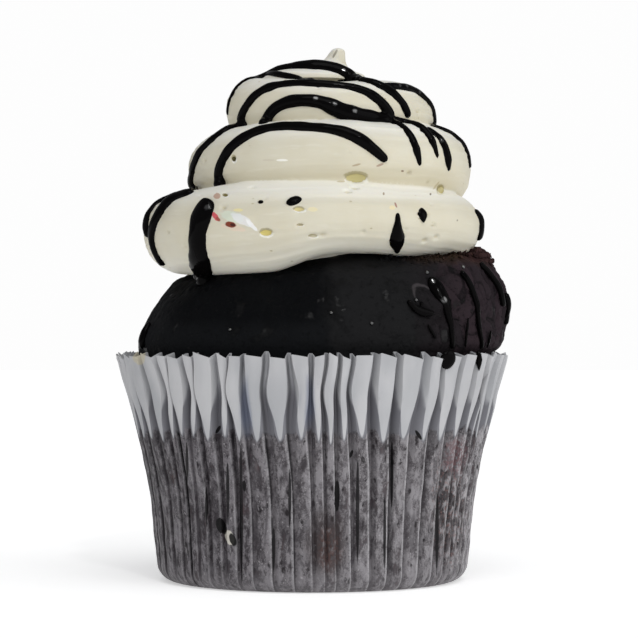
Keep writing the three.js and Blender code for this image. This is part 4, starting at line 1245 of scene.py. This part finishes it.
def lay(surface, side, drawn, step=0.4, easing=8):
    sheet_curve = curve_through([(a, 0, b) for a, b in drawn], 0.4)
    landed = [land(surface, side, p[0], p[2]) for p in sheet_curve]
    landed = even_steps(relax(np.array([tuple(p) for p in landed if p]), 3), step)
    row = []
    for place in landed:
        spot_on, facing_out, _, _ = surface.find_nearest(Vector(place))
        row.append([spot_on, facing_out])
    for _ in range(easing):
        for i in range(1, len(row) - 1):
            middle = (row[i - 1][0] + row[i + 1][0]) / 2
            eased = row[i][0].lerp(middle, 0.7)
            spot_on, facing_out, _, _ = surface.find_nearest(eased)
            proud = min(max((eased - spot_on).dot(facing_out), 0), 1.5)
            row[i] = [spot_on + facing_out * proud, facing_out]
    facings = relax(np.array([tuple(r[1]) for r in row]), 10)
    facings /= np.linalg.norm(facings, axis=1)[:, None]
    return relax(np.array([tuple(r[0]) for r in row]), 2), facings


swirl_surface = surface_of(swirl, cake)
cake_surface = surface_of(cake, case)
print("surfaces ready")

# %% [markdown]
# Every strand starts as the same thing: a ring of sixteen points, extruded into a straight
# rope with one ring for each step. `pour` then carries the rings to the landed path and
# gives them a flattened dome for a section, rounded ends and the strand's own widths. A
# broad run spreads out, so it stands up less for its width than a thin one, and a strand
# stands highest where it lies on a level top.


# %% Pouring a strand
def straight_rope(rings, sides=16):
    start_fresh()
    bpy.ops.mesh.primitive_circle_add(vertices=sides, radius=1, fill_type="TRIFAN", location=(0, 0, 0))
    rope = bpy.context.active_object
    bpy.ops.object.mode_set(mode="EDIT")
    bpy.ops.mesh.select_all(action="SELECT")
    for _ in range(rings - 1):
        bpy.ops.mesh.extrude_region_move(TRANSFORM_OT_translate={"value": (0, 0, 1)})
    bpy.ops.object.mode_set(mode="OBJECT")
    return rope


def pour(name, path_mm, facings, widths, seed=0, proudest=0.95):
    rope = straight_rope(len(path_mm))
    rope.name = name
    flat = points_of(rope) * MM
    ring = np.clip(np.round(flat[:, 2]).astype(int), 0, len(path_mm) - 1)
    forward = np.gradient(path_mm, axis=0)
    forward /= np.linalg.norm(forward, axis=1)[:, None]
    sideways = np.cross(facings, forward)
    sideways /= np.linalg.norm(sideways, axis=1)[:, None]
    upright = np.cross(forward, sideways)

    gaps = np.linalg.norm(np.diff(path_mm, axis=0), axis=1)
    walked = np.concatenate([[0], np.cumsum(gaps)])
    share = walked / walked[-1]
    girth = np.interp(share, np.linspace(0, 1, len(widths)), widths)
    swing = 1.1 + 0.06 * np.sin(walked * 0.7 + seed) + 0.04 * np.sin(walked * 1.9 + seed * 2)
    girth = girth * swing + 0.32
    to_end = np.minimum(walked, walked[-1] - walked) / (girth * 0.5)
    round_end = np.sqrt(np.clip(1 - (1 - np.clip(to_end, 0, 1)) ** 2, 0.03, 1))
    half = girth * 0.5 * round_end
    tall = np.minimum(half * 1.1, proudest + 0.7 * np.clip(facings[:, 2], 0, 1))

    place = path_mm[ring] + upright[ring] * (-0.22 * tall[ring])[:, None]
    place += sideways[ring] * (flat[:, 0] * half[ring])[:, None]
    place += upright[ring] * (flat[:, 1] * tall[ring])[:, None]
    move_points(rope, place)
    face_outwards(rope)
    return rope


def melt(name, ropes, voxel_mm, smoothing):
    """Joins poured strands, melts them into one skin and lets it relax."""
    start_fresh()
    for rope in ropes:
        rope.select_set(True)
    bpy.context.view_layer.objects.active = ropes[0]
    if len(ropes) > 1:
        bpy.ops.object.join()
    whole = bpy.context.active_object
    whole.name = name
    whole.data.name = name
    apply_modifier(whole, "REMESH", mode="VOXEL", voxel_size=voxel_mm * MM)
    apply_modifier(whole, "SMOOTH", factor=0.5, iterations=smoothing)
    pick(whole)
    bpy.ops.object.shade_smooth()
    return whole


poured = []
for number, (side, widths, drawn) in enumerate(SWIRL_STRANDS):
    path_mm, facings = lay(swirl_surface, side, drawn)
    poured.append(pour(f"strand_{number}", path_mm, facings, widths, number))
print("poured", len(poured), "strands on the swirl")

# %% [markdown]
# Where the syrup was flicked it left single drops: one round, one pulled to a point, one
# tiny. One hangs under the broad run, two hang over the paper rim, and beads in the crust
# give the cake its few sparks. Each is a sphere pressed flat against the surface before
# everything melts together. `tip` turns a drop where it lies.

# %% Single drops
def dab(name, surface, side, seen, wide, tall, proud, pulled=0.45, tip=0.0):
    spot_on = land(surface, side, *seen)
    facing_out = surface.find_nearest(spot_on)[1]
    start_fresh()
    bpy.ops.mesh.primitive_uv_sphere_add(segments=20, ring_count=12, radius=1, location=(0, 0, 0))
    drop = bpy.context.active_object
    drop.name = name
    flat = points_of(drop) * MM
    level = Vector((0, 0, 1)).cross(facing_out).normalized()
    across = level * math.cos(tip) + facing_out.cross(level) * math.sin(tip)
    up = facing_out.cross(across)
    pull = 1 - pulled * np.clip(-flat[:, 2], 0, 1)
    place = np.array([tuple(spot_on)]) + np.outer(flat[:, 0] * wide / 2 * pull, across)
    place += np.outer(flat[:, 2] * tall / 2, up) + np.outer(flat[:, 1] * proud, facing_out)
    move_points(drop, place)
    face_outwards(drop)
    return drop


poured.append(dab("drop_round", swirl_surface, FRONT, (-3.05, 62.0), 2.7, 1.75, 0.5, 0.0, 0.45))
poured.append(dab("drop_pulled", swirl_surface, FRONT, (18.1, 59.6), 2.0, 2.7, 0.4, 0.75))
poured.append(dab("drop_hanging", swirl_surface, FRONT, (-17.8, 49.8), 2.7, 3.8, 1.5, 0.3))
poured.append(dab("drop_tiny", swirl_surface, FRONT, (-8.5, 61.8), 1.05, 0.85, 0.35, 0.0))
poured.append(dab("drop_back", swirl_surface, BACK, (11.5, 57.0), 1.9, 2.2, 0.45))
swirl_syrup = melt("syrup_on_swirl", poured, 0.22, 4)
print("syrup on the swirl:", triangles(swirl_syrup), "triangles")

CLEAR_OF_BUMPS = 0.35
poured = []
for number, (side, widths, drawn) in enumerate(CAKE_STRANDS):
    path_mm, facings = lay(cake_surface, side, drawn, easing=16)
    clear_mm = path_mm + facings * CLEAR_OF_BUMPS
    poured.append(pour(f"cake_strand_{number}", clear_mm, facings, widths, number, proudest=0.5))
poured.append(dab("rim_drop", cake_surface, FRONT, (22.2, 35.9), 2.9, 3.2, 0.6, 0.15))
poured.append(dab("rim_drip", cake_surface, FRONT, (27.3, 35.7), 1.2, 3.4, 0.45, 0.7))
BEADS = [(18.8, 50.2), (24.7, 51.1), (17.0, 45.7), (17.9, 45.1), (22.5, 45.5), (-13.5, 40.8), (3.1, 43.6)]
BEADS += [(9.7, 41.9)]
for number, seen in enumerate(BEADS):
    poured.append(dab(f"bead_{number}", cake_surface, FRONT, seen, 0.75, 0.75, 0.4, 0.2))
cake_syrup = melt("syrup_on_cake", poured, 0.17, 4)
print("syrup on the cake:", triangles(cake_syrup), "triangles")

for piece, node in ((swirl_syrup, "frosting"), (cake_syrup, "cake")):
    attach(piece, "root")
    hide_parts(node)

# %% [markdown]
# Syrup this thick is near black, with a cold sheen that varies a little where it has begun
# to skin over. A few small spots are still wet. There a clear coat catches the lamp as a
# spark. The spots are painted on the points around the places where a sight line lands. In
# front, each slides a little to where the skin faces half way between lens and lamp.

# %% Wet spots: side, place across and up, and reach, in millimetres
WET_ON_SWIRL = [(FRONT, 15.1, 80.6, 0.35), (FRONT, 16.1, 80.3, 0.4), (FRONT, 17.5, 79.4, 0.4)]
WET_ON_SWIRL += [(FRONT, -0.4, 78.7, 0.45), (FRONT, 4.3, 77.1, 0.45), (FRONT, 7.9, 76.5, 0.45)]
WET_ON_SWIRL += [(FRONT, 5.0, 82.7, 0.35), (FRONT, -18.3, 60.8, 0.5), (FRONT, 21.2, 72.3, 0.4)]
WET_ON_SWIRL += [(BACK, -6.0, 81.8, 0.5), (BACK, 3.0, 82.2, 0.45), (BACK, -4.0, 73.2, 0.5)]
WET_ON_SWIRL += [(BACK, 8.0, 75.5, 0.45), (BACK, 20.4, 64.0, 0.4), (BACK, -20.4, 59.0, 0.4)]
WET_ON_CAKE = [(FRONT, across, up, 0.6) for across, up in BEADS] + [(BACK, -15.0, 46.6, 0.5)]
WET_ON_CAKE += [(FRONT, 19.9, 48.4, 0.45), (BACK, 10.2, 47.2, 0.5), (BACK, 22.6, 49.2, 0.5)]


HALF_WAY = np.array((0.104, -0.944, 0.311))
SLIDE = 1.1


def wet_share(piece, spots):
    """How wet each point of the piece is, from 0 to 1."""
    skin, here = surface_of(piece), points_of(piece)
    facing = np.empty(len(here) * 3)
    piece.data.vertices.foreach_get("normal", facing)
    facing = facing.reshape(-1, 3) @ HALF_WAY
    share = np.zeros(len(here))
    for side, across_mm, up_mm, reach in spots:
        middle = np.array(tuple(land(skin, side, across_mm, up_mm)))
        if side is FRONT:
            near = np.linalg.norm(here - middle, axis=1) < SLIDE
            middle = here[np.argmax(np.where(near, facing, -1))]
        away = np.linalg.norm(here - middle, axis=1)
        share = np.maximum(share, 1 - ease(away, reach * 0.5, reach))
    return share


for piece, spots in ((swirl_syrup, WET_ON_SWIRL), (cake_syrup, WET_ON_CAKE)):
    paint_points(piece, "wet", wet_share(piece, spots))
print(len(WET_ON_SWIRL) + len(WET_ON_CAKE), "wet spots")

# %% Syrup finish
syrup = Finish("chocolate_syrup")
skinning = syrup.cloud(2.5, detail=2)
syrup.set(Base_Color=syrup.mix(tone(5, 5, 6), tone(11, 9, 9), skinning))
syrup.set(Roughness=syrup.step(skinning, 0.35, 0.75, 0.07, 0.15), Specular_IOR_Level=0.035)
syrup.set(Coat_Weight=syrup.painted("wet"), Coat_Roughness=0.1, Coat_IOR=2.0)
syrup.set(Normal=syrup.bump(syrup.cloud(1.6, detail=1), 0.04, 0.4))
for piece in (swirl_syrup, cake_syrup):
    piece.data.materials.clear()
    piece.data.materials.append(syrup.material)
print("syrup finish:", len(syrup.tree.nodes), "nodes")

# %% [markdown]
# ## Crumbs along the seam
#
# Piping dragged at the crust and raised a row of crumbs and flakes where the swirl sits on
# the cake, most of all on the right. Each is a small sphere with its points pushed about,
# landed like the syrup, and they are joined as one piece.

# %% Crumbs and flakes
SEAM = [(11.1, 53.2), (15.0, 52.7), (19.3, 52.7), (23.4, 53.3), (26.6, 53.8), (28.6, 53.2), (29.5, 52.4)]


def crumb_at(surface, side, seen, size, dice):
    spot_on = land(surface, side, *seen)
    start_fresh()
    bpy.ops.mesh.primitive_ico_sphere_add(subdivisions=2, radius=1, location=(0, 0, 0))
    flake = bpy.context.active_object
    flat = points_of(flake) * MM
    shift = Vector((dice.uniform(0, 50), 0, 0))
    knobbly = 1 + 0.9 * np.array([noise.noise(Vector(p) * 1.9 + shift) for p in flat])
    stretch = np.array([dice.uniform(0.7, 1.4), dice.uniform(0.6, 1.1), dice.uniform(0.45, 0.9)])
    heading = dice.uniform(0, TAU)
    turned = flat * knobbly[:, None] * stretch * size
    across_mm = turned[:, 0] * math.cos(heading) - turned[:, 2] * math.sin(heading)
    up_mm = turned[:, 0] * math.sin(heading) + turned[:, 2] * math.cos(heading)
    move_points(flake, np.stack([across_mm, turned[:, 1], up_mm], axis=1) + np.array(tuple(spot_on)))
    return flake


dice = random.Random(21)
flakes = []
for place in curve_through([(a, 0, b) for a, b in SEAM], 0.17):
    seen = (place[0] + dice.uniform(-0.3, 0.3), place[2] + dice.uniform(-1.0, 0.3))
    biggest = 0.42 + 0.4 * float(ease(place[0], 22, 28))
    flakes.append(crumb_at(swirl_surface, FRONT, seen, dice.uniform(0.18, biggest), dice))
for _ in range(36):
    seen = (dice.uniform(-22, 24), dice.uniform(49.5, 52))
    flakes.append(crumb_at(swirl_surface, BACK, seen, dice.uniform(0.2, 0.6), dice))
start_fresh()
for flake in flakes:
    flake.select_set(True)
bpy.context.view_layer.objects.active = flakes[0]
bpy.ops.object.join()
crumbs = bpy.context.active_object
crumbs.name = "seam_crumbs"
crumbs.data.name = "seam_crumbs"
bpy.ops.object.shade_smooth()
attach(crumbs, "root")
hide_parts("cake")
crumbs.data.materials.clear()
crumbs.data.materials.append(crust.material)
print(len(flakes), "crumbs:", triangles(crumbs), "triangles")
